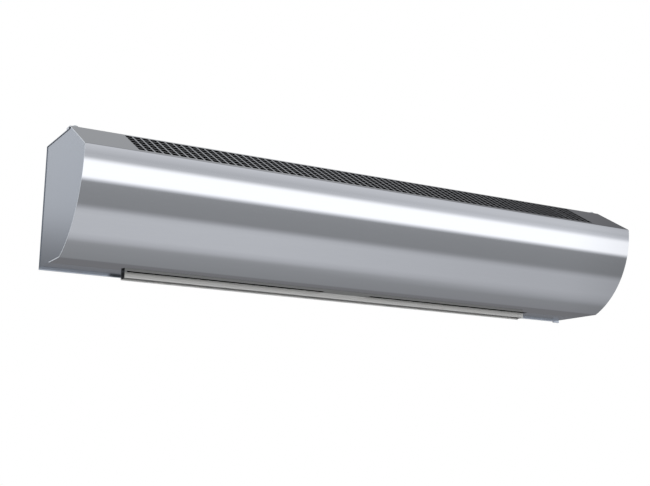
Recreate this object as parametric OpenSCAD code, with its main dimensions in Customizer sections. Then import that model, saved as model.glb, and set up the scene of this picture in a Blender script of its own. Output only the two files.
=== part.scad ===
/* [Casing] */
// Length of the casing along the wall
body_len = 1080; // [1000:10:1200]
// Height of the casing
body_h = 200; // [194:1:206]
// Depth from the wall to the fold above the curved front
body_d = 207; // [203:1:212]
// Thickness of the painted steel sheet
casing_t = 1.2; // [1:0.1:1.5]
// Depth of the flat top
top_d = 120; // [116:1:122]
// Height of the stiffening flange at the front of the flat top
top_flange_h = 10; // [6:1:14]
// Gap between sheets that seat on each other
fit = 0.2; // [0.1:0.05:0.3]
// How far the back wall reaches below the casing
wall_lip = 3.4; // [2.5:0.1:4.5]
// How far the end plates sit inside the cut edges of the cover
end_inset = 1; // [0.5:0.5:2]
// Width of the flanges that the plates are screwed down by
flange_w = 15; // [12:1:18]

/* [Front cover] */
// Thickness of the stainless sheet
cover_t = 1.5; // [1.2:0.1:1.8]
// Drop from the flat top to the upper front fold
fold_drop = 45; // [43:1:47]
// Depth of the lower front fold
chin_d = 110; // [106:1:114]
// Radius of the curved front
front_r = 165; // [158:1:175]
// Slope of the intake panel in degrees
slope_deg = 30; // [29:0.5:31]
// Distance from the wall to the rear edge of the front panel's bottom flange
flange_end_d = 56; // [54:1:60]
// Seam between the intake panel and the front panel
seam = 0.3; // [0.2:0.05:0.5]
// Width of the front panel's edge beside the seam
seam_edge = 2; // [1.6:0.1:3]
// Width of the lip that the intake panel lays over the flat top
lip_w = 16; // [14:1:18]
// Width of the hem folded under the lip
hem_w = 12; // [10:1:13]

/* [Intake] */
// Plain sheet left at each end of the intake
intake_margin = 84; // [60:1:200]
// Holes up the slope
hole_rows = 6; // [4:1:6]
// Plain sheet between the fold and the first holes
hole_start = 10; // [8:0.1:12]
// Spacing of the holes along the intake
hole_pitch_x = 13.6; // [13:0.1:14]
// Spacing of the holes up the slope
hole_pitch_s = 13.6; // [13.2:0.1:14]
// Width of one hole
hole_w = 10.8; // [8:0.2:11]
// Length of one hole up the slope
hole_l = 12.2; // [9:0.2:12.4]

/* [Outlet nozzle] */
// Distance from each end of the casing to the nozzle
bay_w = 128; // [124:1:150]
// Distance from the wall to the front face of the nozzle
nozzle_front_d = 42; // [40:1:46]
// Distance from the wall to the rear face of the nozzle
nozzle_rear_d = 24; // [20:1:26]
// How far the nozzle reaches below the casing
nozzle_drop = 9; // [6:1:12]
// How far the rear of the nozzle reaches below its front
nozzle_rear_down = 2; // [1:0.5:3]
// Height of the nozzle profiles
nozzle_h = 49; // [44:1:52]
// Wall of the nozzle profiles
nozzle_t = 2; // [1.6:0.1:2.4]
// Thickness of the nozzle ends
nozzle_end_t = 2; // [1.5:0.1:2.5]
// Width of the central bridge across the slot in front of the nozzle
bridge_w = 96; // [80:2:110]
// Height of the air vane
vane_h = 34; // [26:1:34]
// Thickness of the air vane
vane_t = 3; // [2.4:0.1:4]
// Radius of the vane pins
vane_pin_r = 2; // [1.6:0.1:2.4]

/* [Fans] */
// Distance from the wall to the fan axis
fan_back = 72; // [71:1:74]
// Drop from the flat top to the fan axis
fan_drop = 70; // [68:1:71]
// Outer radius of the fan rotors
fan_r = 40; // [38:0.5:41]
// Inner radius of the blades
fan_inner_r = 31; // [28:0.5:32]
// Blades of each rotor
fan_blades = 28; // [20:1:36]
// Thickness of a blade
blade_t = 0.9; // [0.7:0.1:1.2]
// Thickness of a rotor disc
disc_t = 1.5; // [1.2:0.1:2]
// Stiffening rings between the end discs
fan_rings = 3; // [2:1:4]
// Distance from the middle to the inner end of a rotor
fan_start = 54; // [54:1:60]
// Radius of the shafts
shaft_r = 4; // [3.5:0.5:5]
// Radial clearance of a shaft in its bearing
run_gap = 0.05; // [0.03:0.01:0.08]
// Radius of the air guide behind a rotor
volute_r = 58; // [56:1:59]
// Thickness of the air guides
guide_t = 1; // [0.8:0.1:1.2]
// Gap between a rotor and the nose of the front air guide
tongue_gap = 4; // [3.5:0.5:5]

/* [Motor] */
// Radius of the motor can
motor_r = 38; // [36:0.5:39]
// Length of the motor can
motor_len = 56; // [50:1:60]
// Wall of the motor can
motor_wall = 1.5; // [1:0.1:2]
// Thickness of the motor caps
cap_t = 6; // [5:0.5:7]
// Radius of the boss on a motor cap
boss_r = 15; // [13:0.5:16]
// Radius of the rubber rings that carry the motor
ring_r = 22; // [20:0.5:24]
// Thickness of the motor bracket
bracket_t = 2; // [1.5:0.1:2.5]

/* [Heaters] */
// Radius of a heater tube
heater_r = 4.2; // [3.8:0.1:4.6]
// Radius of the fins
fin_r = 10; // [9:0.5:10.5]
// Spacing of the fins
fin_pitch = 9; // [7:0.5:12]
// Thickness of a fin
fin_t = 0.8; // [0.6:0.1:1.2]

/* [Switches and mounts] */
// Width of a switch key
key_w = 12.4; // [11:0.2:13]
// Length of a switch key
key_l = 22; // [20:0.5:24]
// Tilt of a switch key to either side in degrees
key_tilt = 7; // [5:0.5:8]
// Radius of the wall screw holes
wall_hole_r = 4; // [3:0.25:5]
// Distance from each end of the casing to the wall screw holes
wall_hole_in = 60; // [50:5:80]
// Distance from the top and the bottom to the wall screw holes
wall_hole_up = 30; // [25:5:40]
// Radius of the bore in the cable grommet
grommet_bore_r = 4.5; // [3.5:0.25:5.5]

/* [Hidden] */

$fn = 64;
// Overrun of every cut
cut = 1;

// Colours
steel = [0.62, 0.64, 0.68];
stainless = [0.74, 0.75, 0.78];
aluminium = [0.78, 0.78, 0.77];
zinc = [0.7, 0.71, 0.72];
dark_plastic = [0.13, 0.13, 0.14];
rubber = [0.08, 0.08, 0.08];
bronze = [0.66, 0.5, 0.3];
copper = [0.72, 0.42, 0.24];
ceramic = [0.9, 0.88, 0.82];
board_green = [0.12, 0.35, 0.22];

// Section of the casing, as [y, z] with the wall at y = 0 and z = 0 at half the height
half_len = body_len / 2;
half_h = body_h / 2;
fold = [-body_d, half_h - fold_drop];
chin = [-chin_d, -half_h];
chord = chin - fold;
chord_mid = (chin + fold) / 2;
inward = [-chord.y, chord.x] / norm(chord);
front_c = chord_mid + inward * sqrt(front_r * front_r - norm(chord) * norm(chord) / 4);
lip_rise = 2 * cover_t + fit;
lip_top = half_h + lip_rise;
slope_len = (lip_top - fold.y) / sin(slope_deg);
crest = [fold.x + slope_len * cos(slope_deg), lip_top];
inner_back = casing_t + fit;
plate_low = -half_h + cover_t + fit;
plate_high = half_h - casing_t - fit;
plate_out = half_len - end_inset;
plate_in = plate_out - casing_t;
hem_reach = crest.x + lip_w;
return_rise = cover_t;
return_in = 2 * cover_t + seam;
return_back = slope_y(fold.y + return_rise, return_in) + fit;
big_fn = 128;
vane_fn = 720;

lip_tab_len = 15;
lip_tab_drop = 1.6;
intake_from = seam_edge + seam;

// Nozzle
nozzle_low = -half_h - nozzle_drop;
nozzle_high = nozzle_low + nozzle_h;
nozzle_half = half_len - bay_w;
vane_room = nozzle_half - nozzle_end_t;
vane_axis = [-(nozzle_front_d + nozzle_rear_d) / 2, nozzle_low + vane_h / 2 + nozzle_t * 2];
vane_side_gap = 0.5;
slot_clear = 0.4;
tab_end = nozzle_half + slot_clear;

// Fans and motor
axis = [-fan_back, half_h - fan_drop];
bulk_in = nozzle_half + fit;
bulk_out = bulk_in + casing_t;
fan_end = nozzle_half - 2 * nozzle_end_t;
fan_len = fan_end - fan_start;
ring_in_r = fan_inner_r - blade_t;
blade_lean = 14;
blade_steps = 4;
bearing_r = 7;
bearing_len = 12;
bearing_rubber_r = 17;
bearing_neck_r = 15;
bearing_neck_gap = 1.6;
stub_flange_r = 12;
stub_flange_t = 2;
stub_in = 6;
stub_out = 20;
coupling_r = 15;
coupling_len = 16;
coupling_out = 2;
shaft_reach = fan_start + coupling_len - stub_flange_t;
air_gap = 0.5;
armature_r = 20;
stator_half = 20;
winding_w = 6;
winding_in_r = 24;
winding_out_r = 34;
motor_half = motor_len / 2;
boss_end = bridge_w / 2 + disc_t;
ring_half_w = 2;
bracket_under = 48;
bracket_over = 63;
bracket_past = 30;
bracket_low = axis.y - bracket_under;
bracket_high = axis.y + bracket_over;
bracket_deep = fan_back + bracket_past;
bracket_out = bridge_w / 2;
bracket_back = inner_back - fit;

// Air guides
volute_c = [axis.x + 6, axis.y + 2];
volute_top_deg = 80;
guide_low = -half_h + casing_t + cover_t;
guide_inner_end = bridge_w / 2 + slot_clear;
rear_tail_y = -nozzle_rear_d + fit;
front_tail_y = -nozzle_front_d - fit;
tongue_deg = 225;
tongue_nose = axis + (fan_r + tongue_gap) * [cos(tongue_deg), sin(tongue_deg)];
tongue_low = [front_tail_y - guide_t / 2, nozzle_high];

// Heaters, with each place given from the fan axis
rear_heater_back = 37;
rear_heater_drop = 66;
front_heater_back = 14;
front_heater_drop = 52;
rear_heater_at = [axis.x + rear_heater_back, axis.y - rear_heater_drop];
front_heater_at = [axis.x + front_heater_back, axis.y - front_heater_drop];
heater_past = 17;
heater_half = bulk_out + heater_past;
pin_r = 1.5;
pin_len = 12;
fins_clear = 8;
fins_from = bridge_w / 2 + fins_clear;
fins_to = bulk_in - fins_clear;
fins = floor((fins_to - fins_from) / fin_pitch);
insulator_r = 7.8;
insulator_flange_r = 10;
insulator_flange_t = 3;
insulator_neck = 2;

// Screws
screw_r = 2;
screw_hole_r = 2.2;
head_r = 4.5;
head_h = 2.8;
head_dome = 1;
small_head_r = 3.6;
small_head_h = 2;
recess_w = 1;
recess_l = 5;
recess_deep = 1.2;
lip_screw_in = 10;
lip_screw_back = 7;
lip_screw = [half_len - lip_screw_in, crest.x + lip_screw_back];
flange_screw_x = plate_in - flange_w / 2;
flange_screw_in = 30;
flange_screw_z = [flange_screw_in - half_h, half_h - flange_screw_in * 3 / 2];
bulk_screw_x = bulk_out + flange_w / 2;
bracket_screw_half = 30;
bracket_screw_edge = 10;
bracket_screw_z = [bracket_low + bracket_screw_edge, bracket_high - bracket_screw_edge];
bracket_screws_at = [for (x = [-1, 1], z = bracket_screw_z) [x * bracket_screw_half, z]];
nozzle_screw_end = 26;
nozzle_screw_mid = 92;
nozzle_screws_right = [bridge_w / 2 + nozzle_screw_mid, nozzle_half - nozzle_screw_end];
nozzle_screw_x = concat(-nozzle_screws_right, nozzle_screws_right);
nozzle_screw_drop = 8;
nozzle_screw_z = nozzle_high - nozzle_screw_drop;

// Switches, on the right end plate
key_pitch = key_w + 2.3;
key_gap = 0.4;
key_pin_r = 1.5;
key_rise = 5.5;
key_end_rise = key_rise + key_l / 2 * tan(key_tilt);
key_neck = 4.5;
key_foot = 3;
key_foot_half = 5;
switch_back = 70;
switch_drop = 30;
switch_at = [-switch_back, -switch_drop];
switch_wall = 1.5;
switch_flange_t = 1.2;
switch_flange_w = 4;
key_proud = 0.8;
key_axis_x = plate_out + switch_flange_t + key_proud - key_rise;
cavity_half_l = norm([key_end_rise, key_l / 2]) * sin(atan(key_l / 2 / key_end_rise) + key_tilt) + key_gap;
cavity_deep = 8;
housing_half_y = key_pitch + key_w / 2 + key_gap + switch_wall;
housing_half_z = cavity_half_l + switch_wall;
housing_back = key_axis_x - cavity_deep - switch_wall;
blade_terminal = [8, 0.8, 6.3];

// Electrical bay behind the right end, with places given from its bulkhead
bay_offset = 56.6;
bay_x = bulk_out + bay_offset;
board_back = 12;
board_drop = 85;
board_at = [bay_x, board_back, half_h - board_drop];
board_size = [80, 1.6, 70];
spacer_r = 3;
spacer_in = 6;
relay_size = [20, 16, 16];
relay_apart = 18;
relay_up = 14;
relay_places = [[-relay_apart, relay_up], [relay_apart, relay_up]];
block_size = [60, 18, 20];
block_under = 12;
block_at = [bay_x, rear_heater_at.y - block_under];
block_ways = 5;
block_hole_r = 2.6;
block_hole_deep = 6;
cap_can_r = 15;
cap_can_len = 50;
cap_can_in = 10;
cap_can_drop = 27;
cap_can_at = [bay_x - cap_can_in, 0, half_h - cap_can_drop];
clip_t = 1;
clip_w = 12;
cap_can_y = -inner_back - fit - clip_t - cap_can_r;
stud_in = 45;
stud_up = 20;
stud_at = [bay_x + stud_in, stud_up - half_h];
stud_len = 15;
nut_r = 4.6;
nut_h = 4;
grommet_back = 50;
grommet_at = [bay_x, -grommet_back];
grommet_r = 7;
grommet_flange_r = 10.5;
grommet_flange_t = 3;
cutout_back = 80;
cutout_up = 55;
cutout_at = [-cutout_back, cutout_up - half_h];
cutout_r = 8;
cutout_h = 9;
cutout_foot_t = 1;

// Leads
lead_r = 2.5;
lead_sides = 8;
bend_steps = 4;
lead_corner_back = 54;
lead_corner_over = 56;
lead_corner = [axis.x + lead_corner_back, axis.y + lead_corner_over];
lead_hole_r = 5;
lead_start_deg = 55;
lead_lift = 9;
lead_bend = 7;

// Height of the slope plane at depth y, set in by o
function slope_z(y, o) = fold.y + ((y - fold.x) * sin(slope_deg) - o) / cos(slope_deg);

// Depth of the slope plane at height z, set in by o
function slope_y(z, o) = fold.x + ((z - fold.y) * cos(slope_deg) + o) / sin(slope_deg);

// Lays a [y, z] outline along the casing from x = from to x = to
module along_x(from, to) {
    translate([from, 0, 0]) rotate([90, 0, 90]) linear_extrude(to - from) children();
}

// Outline of the casing: the curve set in by curve_in, the slope by slope_in
module section(curve_in, slope_in, low, high, back) {
    far = -body_d - front_r;
    intersection() {
        translate(front_c) circle(r = front_r - curve_in, $fn = big_fn);
        polygon([[-back, low], [far, low], [far, slope_z(far, slope_in)],
            [slope_y(high, slope_in), high], [-back, high]]);
    }
}

// Outline of an end plate, with room for the fold of the front
module plate_outline() {
    far = fold.x - cut;
    difference() {
        section(cover_t + fit, cover_t + fit, plate_low, plate_high, inner_back);
        polygon([[far, slope_z(far, return_in + fit)], [return_back, slope_z(return_back, return_in + fit)],
            [return_back, slope_z(return_back, 0)], [far, slope_z(far, 0)]]);
    }
}

// Pan-head screw with its head on z = 0 and its shank below
module pan_screw(length, top_r = head_r, top_h = head_h) {
    difference() {
        union() {
            rotate_extrude() polygon([[0, 0], [top_r, 0], [top_r, top_h - head_dome],
                [top_r - head_dome, top_h - head_dome / 3], [recess_w, top_h], [0, top_h]]);
            translate([0, 0, -length]) cylinder(r = screw_r, h = length + top_h / 2);
        }
        for (turn = [0, 90]) rotate(turn) translate([-recess_l / 2, -recess_w / 2, top_h - recess_deep])
            cube([recess_l, recess_w, recess_deep + cut]);
    }
}

// Screw hole along y in a sheet at the back
module back_hole(x, z, r = screw_hole_r) {
    translate([x, cut, z]) rotate([90, 0, 0]) cylinder(r = r, h = bracket_back + bracket_t + 2 * cut + fit);
}

// Screws that hold a flange at the back, with heads inside the casing
module back_screw(x, z, depth) {
    translate([x, -depth, z]) rotate([90, 0, 0]) pan_screw(depth, small_head_r, small_head_h);
}

function unit(v) = v / norm(v);

// Route with each inner corner rounded by a curve that starts bend away from it
function bend_at(p, i, bend) =
    let (a = p[i] + unit(p[i - 1] - p[i]) * bend, b = p[i] + unit(p[i + 1] - p[i]) * bend)
    [for (s = [0:bend_steps]) let (u = s / bend_steps, v = 1 - u)
        v * v * a + 2 * u * v * p[i] + u * u * b];

function route(p, bend) = concat([p[0]],
    [for (i = [1:len(p) - 2]) for (q = bend_at(p, i, bend)) q], [p[len(p) - 1]]);

function heading(p, i) = unit(p[min(i + 1, len(p) - 1)] - p[max(i - 1, 0)]);

// Round lead along a route; side is a direction that no stretch runs along
module lead(p, r, side) {
    last = len(p) - 1;
    rings = [for (i = [0:last]) let (t = heading(p, i), a = unit(cross(side, t)), b = cross(t, a))
        for (k = [0:lead_sides - 1]) let (turn = 360 * k / lead_sides)
            p[i] + r * (cos(turn) * a + sin(turn) * b)];
    walls = [for (i = [0:last - 1]) for (k = [0:lead_sides - 1])
        let (n = (k + 1) % lead_sides, low = i * lead_sides, top = low + lead_sides)
            for (face = [[low + k, top + k, top + n], [low + k, top + n, low + n]]) face];
    start = [[for (k = [0:lead_sides - 1]) k]];
    end = [[for (k = [lead_sides - 1:-1:0]) last * lead_sides + k]];
    polyhedron(points = rings, faces = concat(walls, start, end));
}

// Painted casing: back wall, flat top with its flange and bottom strip with two end tabs
module back_panel() {
    color(steel) difference() {
        union() {
            along_x(-half_len, half_len) {
                translate([-casing_t, -half_h]) square([casing_t, body_h]);
                translate([-top_d, half_h - casing_t]) square([top_d, casing_t]);
                translate([slot_clear - flange_end_d, -half_h])
                    square([flange_end_d - slot_clear, casing_t]);
                translate([-2 * casing_t, -half_h - wall_lip + casing_t]) square([2 * casing_t, wall_lip]);
                translate([-casing_t, -half_h - wall_lip + casing_t]) circle(r = casing_t);
            }
            translate([fit - plate_in, -top_d, half_h - top_flange_h])
                cube([2 * (plate_in - fit), casing_t, top_flange_h]);
            translate([half_len - lip_tab_len, -2 * casing_t, -half_h - wall_lip - lip_tab_drop])
                cube([lip_tab_len, 2 * casing_t, wall_lip]);
        }
        translate([-tab_end, -flange_end_d - cut, -half_h - cut])
            cube([2 * tab_end, flange_end_d - nozzle_rear_d + slot_clear + cut, casing_t + 2 * cut]);
        for (x = [-1, 1], z = [-1, 1])
            back_hole(x * (half_len - wall_hole_in), z * (half_h - wall_hole_up), wall_hole_r);
        for (s = [-1, 1]) {
            translate([s * lip_screw.x, lip_screw.y, half_h - top_flange_h])
                cylinder(r = screw_hole_r, h = top_flange_h + cut);
            for (z = flange_screw_z) {
                back_hole(s * flange_screw_x, z);
                back_hole(s * bulk_screw_x, z);
            }
        }
        for (p = bracket_screws_at) back_hole(p.x, p.y);
        translate([grommet_at.x, grommet_at.y, half_h - top_flange_h])
            cylinder(r = grommet_r + fit, h = top_flange_h + cut);
        back_hole(stud_at.x, stud_at.y, screw_hole_r);
    }
}

// Right end plate as seen on the +x side, with its back and bottom flanges
module end_plate_shape() {
    along_x(plate_in, plate_out) plate_outline();
    difference() {
        translate([plate_in - flange_w, -inner_back - casing_t, plate_low])
            cube([flange_w + casing_t, casing_t, plate_high - plate_low]);
        for (z = flange_screw_z) back_hole(flange_screw_x, z);
    }
    translate([plate_in - flange_w, -flange_end_d, plate_low])
        cube([flange_w + casing_t, flange_end_d - inner_back, casing_t]);
}

module left_end_plate() {
    color(steel) mirror([1, 0, 0]) end_plate_shape();
}

module right_end_plate() {
    color(steel) difference() {
        end_plate_shape();
        translate([plate_in - cut, switch_at.x - housing_half_y - fit, switch_at.y - housing_half_z - fit])
            cube([casing_t + 2 * cut, 2 * (housing_half_y + fit), 2 * (housing_half_z + fit)]);
    }
}

// Curved stainless front with its upper return, bottom flange and central bridge
module front_panel() {
    inner = 2 * cover_t + seam;
    return_top = fold.y + return_rise;
    color(stainless) {
        along_x(-half_len, half_len) difference() {
            section(0, cover_t + seam, -half_h, return_top, flange_end_d);
            section(cover_t, inner, cover_t - half_h, return_top + cut, flange_end_d - cut);
        }
        along_x(-half_len, half_len) intersection() {
            section(0, 0, -half_h, lip_top, flange_end_d);
            translate(fold) rotate(slope_deg) translate([-cover_t, -2 * cover_t])
                square([cover_t + seam_edge, 3 * cover_t]);
        }
        translate([-bridge_w / 2, -flange_end_d - cut, -half_h])
            cube([bridge_w, flange_end_d + cut - nozzle_front_d - slot_clear, cover_t]);
    }
}

// Flat perforated sheet of the intake, from the fold up to the crest
module intake_sheet() {
    hole_cols = floor((body_len - 2 * intake_margin) / hole_pitch_x);
    cols_len = (hole_cols - 1) * hole_pitch_x;
    linear_extrude(cover_t) difference() {
        translate([-half_len, intake_from + cover_t / 2])
            square([body_len, slope_len - intake_from - cover_t / 2]);
        for (i = [0:hole_cols - 1], k = [0:hole_rows - 1])
            translate([i * hole_pitch_x - (cols_len + hole_w) / 2, hole_start + k * hole_pitch_s])
                square([hole_w, hole_l]);
    }
}

// Lip over the flat top: the bend at the crest, the hem folded under and its round edge
module intake_lip() {
    difference() {
        along_x(-half_len, half_len) {
            polygon([crest, [hem_reach, lip_top], [hem_reach, lip_top - cover_t],
                [slope_y(lip_top - cover_t, cover_t), lip_top - cover_t]]);
            translate([hem_reach - hem_w, lip_top - 2 * cover_t]) square([hem_w, 2 * cover_t]);
            translate([hem_reach, lip_top - cover_t]) circle(r = cover_t);
        }
        for (s = [-1, 1]) translate([s * lip_screw.x, lip_screw.y, half_h])
            cylinder(r = screw_hole_r, h = lip_rise + cut);
    }
}

// Sloping stainless intake with its rolled lip and the round edge at the seam
module intake_panel() {
    color(stainless) {
        translate([0, fold.x, fold.y]) rotate([slope_deg, 0, 0]) translate([0, 0, -cover_t]) intake_sheet();
        intake_lip();
        translate([0, fold.x, fold.y]) rotate([slope_deg, 0, 0])
            translate([-half_len, intake_from + cover_t / 2, -cover_t / 2]) rotate([0, 90, 0])
                cylinder(r = cover_t / 2, h = body_len);
    }
}

// Rounded aluminium strip of the nozzle down to z = low, with its outer face at y = face and its wall
// on the side given
module nozzle_profile(face, side, low) {
    along_x(-nozzle_half, nozzle_half) {
        translate([side > 0 ? face : face - nozzle_t, low + nozzle_t / 2])
            square([nozzle_t, nozzle_high - low - nozzle_t / 2]);
        translate([face + side * nozzle_t / 2, low + nozzle_t / 2]) circle(r = nozzle_t / 2);
    }
}

module nozzle_front_profile() {
    color(aluminium) difference() {
        nozzle_profile(-nozzle_front_d, 1, nozzle_low);
        for (x = nozzle_screw_x) translate([x, -nozzle_front_d - cut, nozzle_screw_z]) rotate([-90, 0, 0])
            cylinder(r = screw_hole_r, h = nozzle_t + 2 * cut);
    }
}

module nozzle_rear_profile() {
    color(aluminium) difference() {
        nozzle_profile(-nozzle_rear_d, -1, nozzle_low - nozzle_rear_down);
        for (x = nozzle_screw_x) translate([x, -nozzle_rear_d - nozzle_t - cut, nozzle_screw_z])
            rotate([-90, 0, 0]) cylinder(r = screw_hole_r, h = nozzle_t + 2 * cut);
    }
}

// Moulded end between the strips of the nozzle, with the seat of the vane pin
module nozzle_end_shape() {
    difference() {
        translate([vane_room, nozzle_t - nozzle_front_d, nozzle_low])
            cube([nozzle_end_t, nozzle_front_d - nozzle_rear_d - 2 * nozzle_t, nozzle_h]);
        translate([vane_room - cut, vane_axis.x, vane_axis.y]) rotate([0, 90, 0])
            cylinder(r = vane_pin_r + run_gap, h = nozzle_end_t + 2 * cut);
    }
}

module left_nozzle_end() {
    color(dark_plastic) mirror([1, 0, 0]) nozzle_end_shape();
}

module right_nozzle_end() {
    color(dark_plastic) nozzle_end_shape();
}

// Lens-shaped air vane on two end pins
module air_vane() {
    vane_arc = (vane_h * vane_h / 4 + vane_t * vane_t / 4) / vane_t;
    vane_half = vane_room - vane_side_gap;
    color(aluminium) translate([0, vane_axis.x, vane_axis.y]) {
        along_x(-vane_half, vane_half) intersection() {
            translate([vane_arc - vane_t / 2, 0]) circle(r = vane_arc, $fn = vane_fn);
            translate([vane_t / 2 - vane_arc, 0]) circle(r = vane_arc, $fn = vane_fn);
            square([vane_t, vane_h - vane_t / 2], center = true);
        }
        for (s = [-1, 1]) rotate([0, s * 90, 0]) translate([0, 0, vane_half - vane_t])
            cylinder(r = vane_pin_r, h = vane_t + vane_side_gap + nozzle_end_t);
    }
}

// Bulkhead between a fan and the bay at its end, on the +x side, with room for the flange of the flat top
module bulkhead_shape() {
    difference() {
        union() {
            along_x(bulk_in, bulk_out) difference() {
                plate_outline();
                translate([-top_d - fit, half_h - top_flange_h - fit])
                    square([casing_t + 2 * fit, top_flange_h]);
            }
            translate([bulk_in, -inner_back - casing_t, plate_low])
                cube([flange_w + casing_t, casing_t, plate_high - plate_low]);
        }
        for (z = flange_screw_z) back_hole(bulk_screw_x, z);
        translate([bulk_in - cut, axis.x, axis.y]) rotate([0, 90, 0])
            cylinder(r = bearing_neck_r + fit, h = casing_t + 2 * cut);
        for (p = [front_heater_at, rear_heater_at]) translate([bulk_in - cut, p.x, p.y]) rotate([0, 90, 0])
            cylinder(r = insulator_r + fit, h = casing_t + 2 * cut);
        translate([bulk_in - cut, lead_corner.x, lead_corner.y]) rotate([0, 90, 0])
            cylinder(r = lead_hole_r, h = casing_t + 2 * cut);
    }
}

module left_bulkhead() {
    color(zinc) mirror([1, 0, 0]) bulkhead_shape();
}

module right_bulkhead() {
    color(zinc) bulkhead_shape();
}

// Curved guide behind a fan, down to the rear of the nozzle
module rear_guide_outline() {
    bend_y = volute_c.x + volute_r;
    top_x = volute_c.x + volute_r * cos(volute_top_deg);
    top_z = volute_c.y + volute_r * sin(volute_top_deg);
    intersection() {
        translate(volute_c) difference() {
            circle(r = volute_r, $fn = big_fn);
            circle(r = volute_r - guide_t, $fn = big_fn);
        }
        translate([top_x, volute_c.y]) square([volute_r, volute_r]);
    }
    translate([top_x, top_z - guide_t]) square([guide_t, plate_high - top_z + guide_t]);
    polygon([[bend_y, volute_c.y], [bend_y - guide_t, volute_c.y],
        [rear_tail_y, nozzle_high], [rear_tail_y + guide_t, nozzle_high]]);
    translate([rear_tail_y, guide_low]) square([guide_t, nozzle_high - guide_low]);
}

module rear_guide_shape() {
    difference() {
        along_x(guide_inner_end, nozzle_half) rear_guide_outline();
        for (x = nozzle_screws_right) translate([x, -nozzle_rear_d - cut, nozzle_screw_z])
            rotate([-90, 0, 0]) cylinder(r = screw_hole_r, h = guide_t + 2 * cut);
    }
}

module left_rear_air_guide() {
    color(zinc) mirror([1, 0, 0]) rear_guide_shape();
}

module right_rear_air_guide() {
    color(zinc) rear_guide_shape();
}

// Straight guide in front of a fan, from its nose down to the front of the nozzle
module front_guide_outline() {
    along = unit(tongue_low - tongue_nose);
    upper = tongue_nose + [-along.y, along.x] * guide_t / 2;
    lower = tongue_nose - [-along.y, along.x] * guide_t / 2;
    fall = along.y / along.x;
    front_y = front_tail_y - guide_t;
    polygon([lower, upper, [front_tail_y, upper.y + (front_tail_y - upper.x) * fall],
        [front_tail_y, guide_low], [front_y, guide_low],
        [front_y, lower.y + (front_y - lower.x) * fall]]);
}

module front_guide_shape() {
    difference() {
        along_x(guide_inner_end, nozzle_half) front_guide_outline();
        for (x = nozzle_screws_right) translate([x, -nozzle_front_d - guide_t - cut, nozzle_screw_z])
            rotate([-90, 0, 0]) cylinder(r = screw_hole_r, h = guide_t + cut);
    }
}

module left_front_air_guide() {
    color(zinc) mirror([1, 0, 0]) front_guide_shape();
}

module right_front_air_guide() {
    color(zinc) front_guide_shape();
}

// One curved blade of a rotor, thick by blade_t
function blade_side(side) = [for (s = [0:blade_steps])
    let (u = s / blade_steps, r = fan_inner_r + (fan_r - fan_inner_r - blade_t / 2) * u,
        turn = blade_lean * (1 - u) * (1 - u) + side * blade_t / r * 90 / PI)
    [r * cos(turn), r * sin(turn)]];

function reversed(list) = [for (i = [len(list) - 1:-1:0]) list[i]];

// Cross-flow rotor on the +x side
module rotor_shape() {
    blade = concat(blade_side(-1), reversed(blade_side(1)));
    ring_step = (fan_len - disc_t) / (fan_rings + 1);
    translate([fan_start, axis.x, axis.y]) rotate([90, 0, 90]) {
        linear_extrude(fan_len) for (k = [0:fan_blades - 1]) rotate(360 * k / fan_blades) polygon(blade);
        linear_extrude(disc_t) difference() {
            circle(r = fan_r);
            circle(r = coupling_r + run_gap);
        }
        translate([0, 0, fan_len - disc_t]) linear_extrude(disc_t) difference() {
            circle(r = fan_r);
            circle(r = shaft_r + run_gap);
        }
        for (k = [1:fan_rings]) translate([0, 0, k * ring_step]) linear_extrude(disc_t) difference() {
            circle(r = fan_r);
            circle(r = ring_in_r);
        }
    }
}

module left_fan_rotor() {
    color(dark_plastic) mirror([1, 0, 0]) rotor_shape();
}

module right_fan_rotor() {
    color(dark_plastic) rotor_shape();
}

// Round piece about the fan axis from x = from to x = to
module on_axis(from, to, r, bore = 0) {
    translate([from, axis.x, axis.y]) rotate([0, 90, 0]) difference() {
        cylinder(r = r, h = to - from);
        if (bore > 0) translate([0, 0, -cut]) cylinder(r = bore, h = to - from + 2 * cut);
    }
}

// Double-ended motor shaft
module motor_shaft() {
    color(zinc) on_axis(-shaft_reach, shaft_reach, shaft_r);
}

// Rubber coupling between the motor shaft and a rotor
module coupling_shape() {
    on_axis(fan_start - coupling_out, fan_start + coupling_len, coupling_r, shaft_r + run_gap);
}

module left_coupling() {
    color(rubber) mirror([1, 0, 0]) coupling_shape();
}

module right_coupling() {
    color(rubber) coupling_shape();
}

// Stub shaft that carries the outer end of a rotor
module stub_shape() {
    on_axis(fan_end - stub_in, fan_end + stub_out, shaft_r);
    on_axis(fan_end + run_gap, fan_end + stub_flange_t, stub_flange_r);
}

module left_stub_shaft() {
    color(zinc) mirror([1, 0, 0]) stub_shape();
}

module right_stub_shaft() {
    color(zinc) stub_shape();
}

// Sintered bush
module bearing_shape() {
    on_axis(bulk_in, bulk_in + bearing_len, bearing_r, shaft_r + run_gap);
}

module left_bearing() {
    color(bronze) mirror([1, 0, 0]) bearing_shape();
}

module right_bearing() {
    color(bronze) bearing_shape();
}

// Rubber ring that holds the bush in its bulkhead
module bearing_rubber_shape() {
    on_axis(bulk_in - bearing_neck_gap / 2, bulk_out + fit, bearing_neck_r, bearing_r + run_gap);
    on_axis(bulk_out + run_gap, bulk_in + bearing_len - run_gap, bearing_rubber_r, bearing_r + run_gap);
}

module left_bearing_rubber() {
    color(rubber) mirror([1, 0, 0]) bearing_rubber_shape();
}

module right_bearing_rubber() {
    color(rubber) bearing_rubber_shape();
}

module motor_can() {
    color(zinc) on_axis(-motor_half, motor_half, motor_r, motor_r - motor_wall);
}

// Cap of the motor with its bearing boss
module motor_cap_shape() {
    on_axis(motor_half + run_gap, motor_half + cap_t, motor_r, shaft_r + run_gap);
    on_axis(motor_half + cap_t / 2, boss_end, boss_r, shaft_r + run_gap);
}

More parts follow.
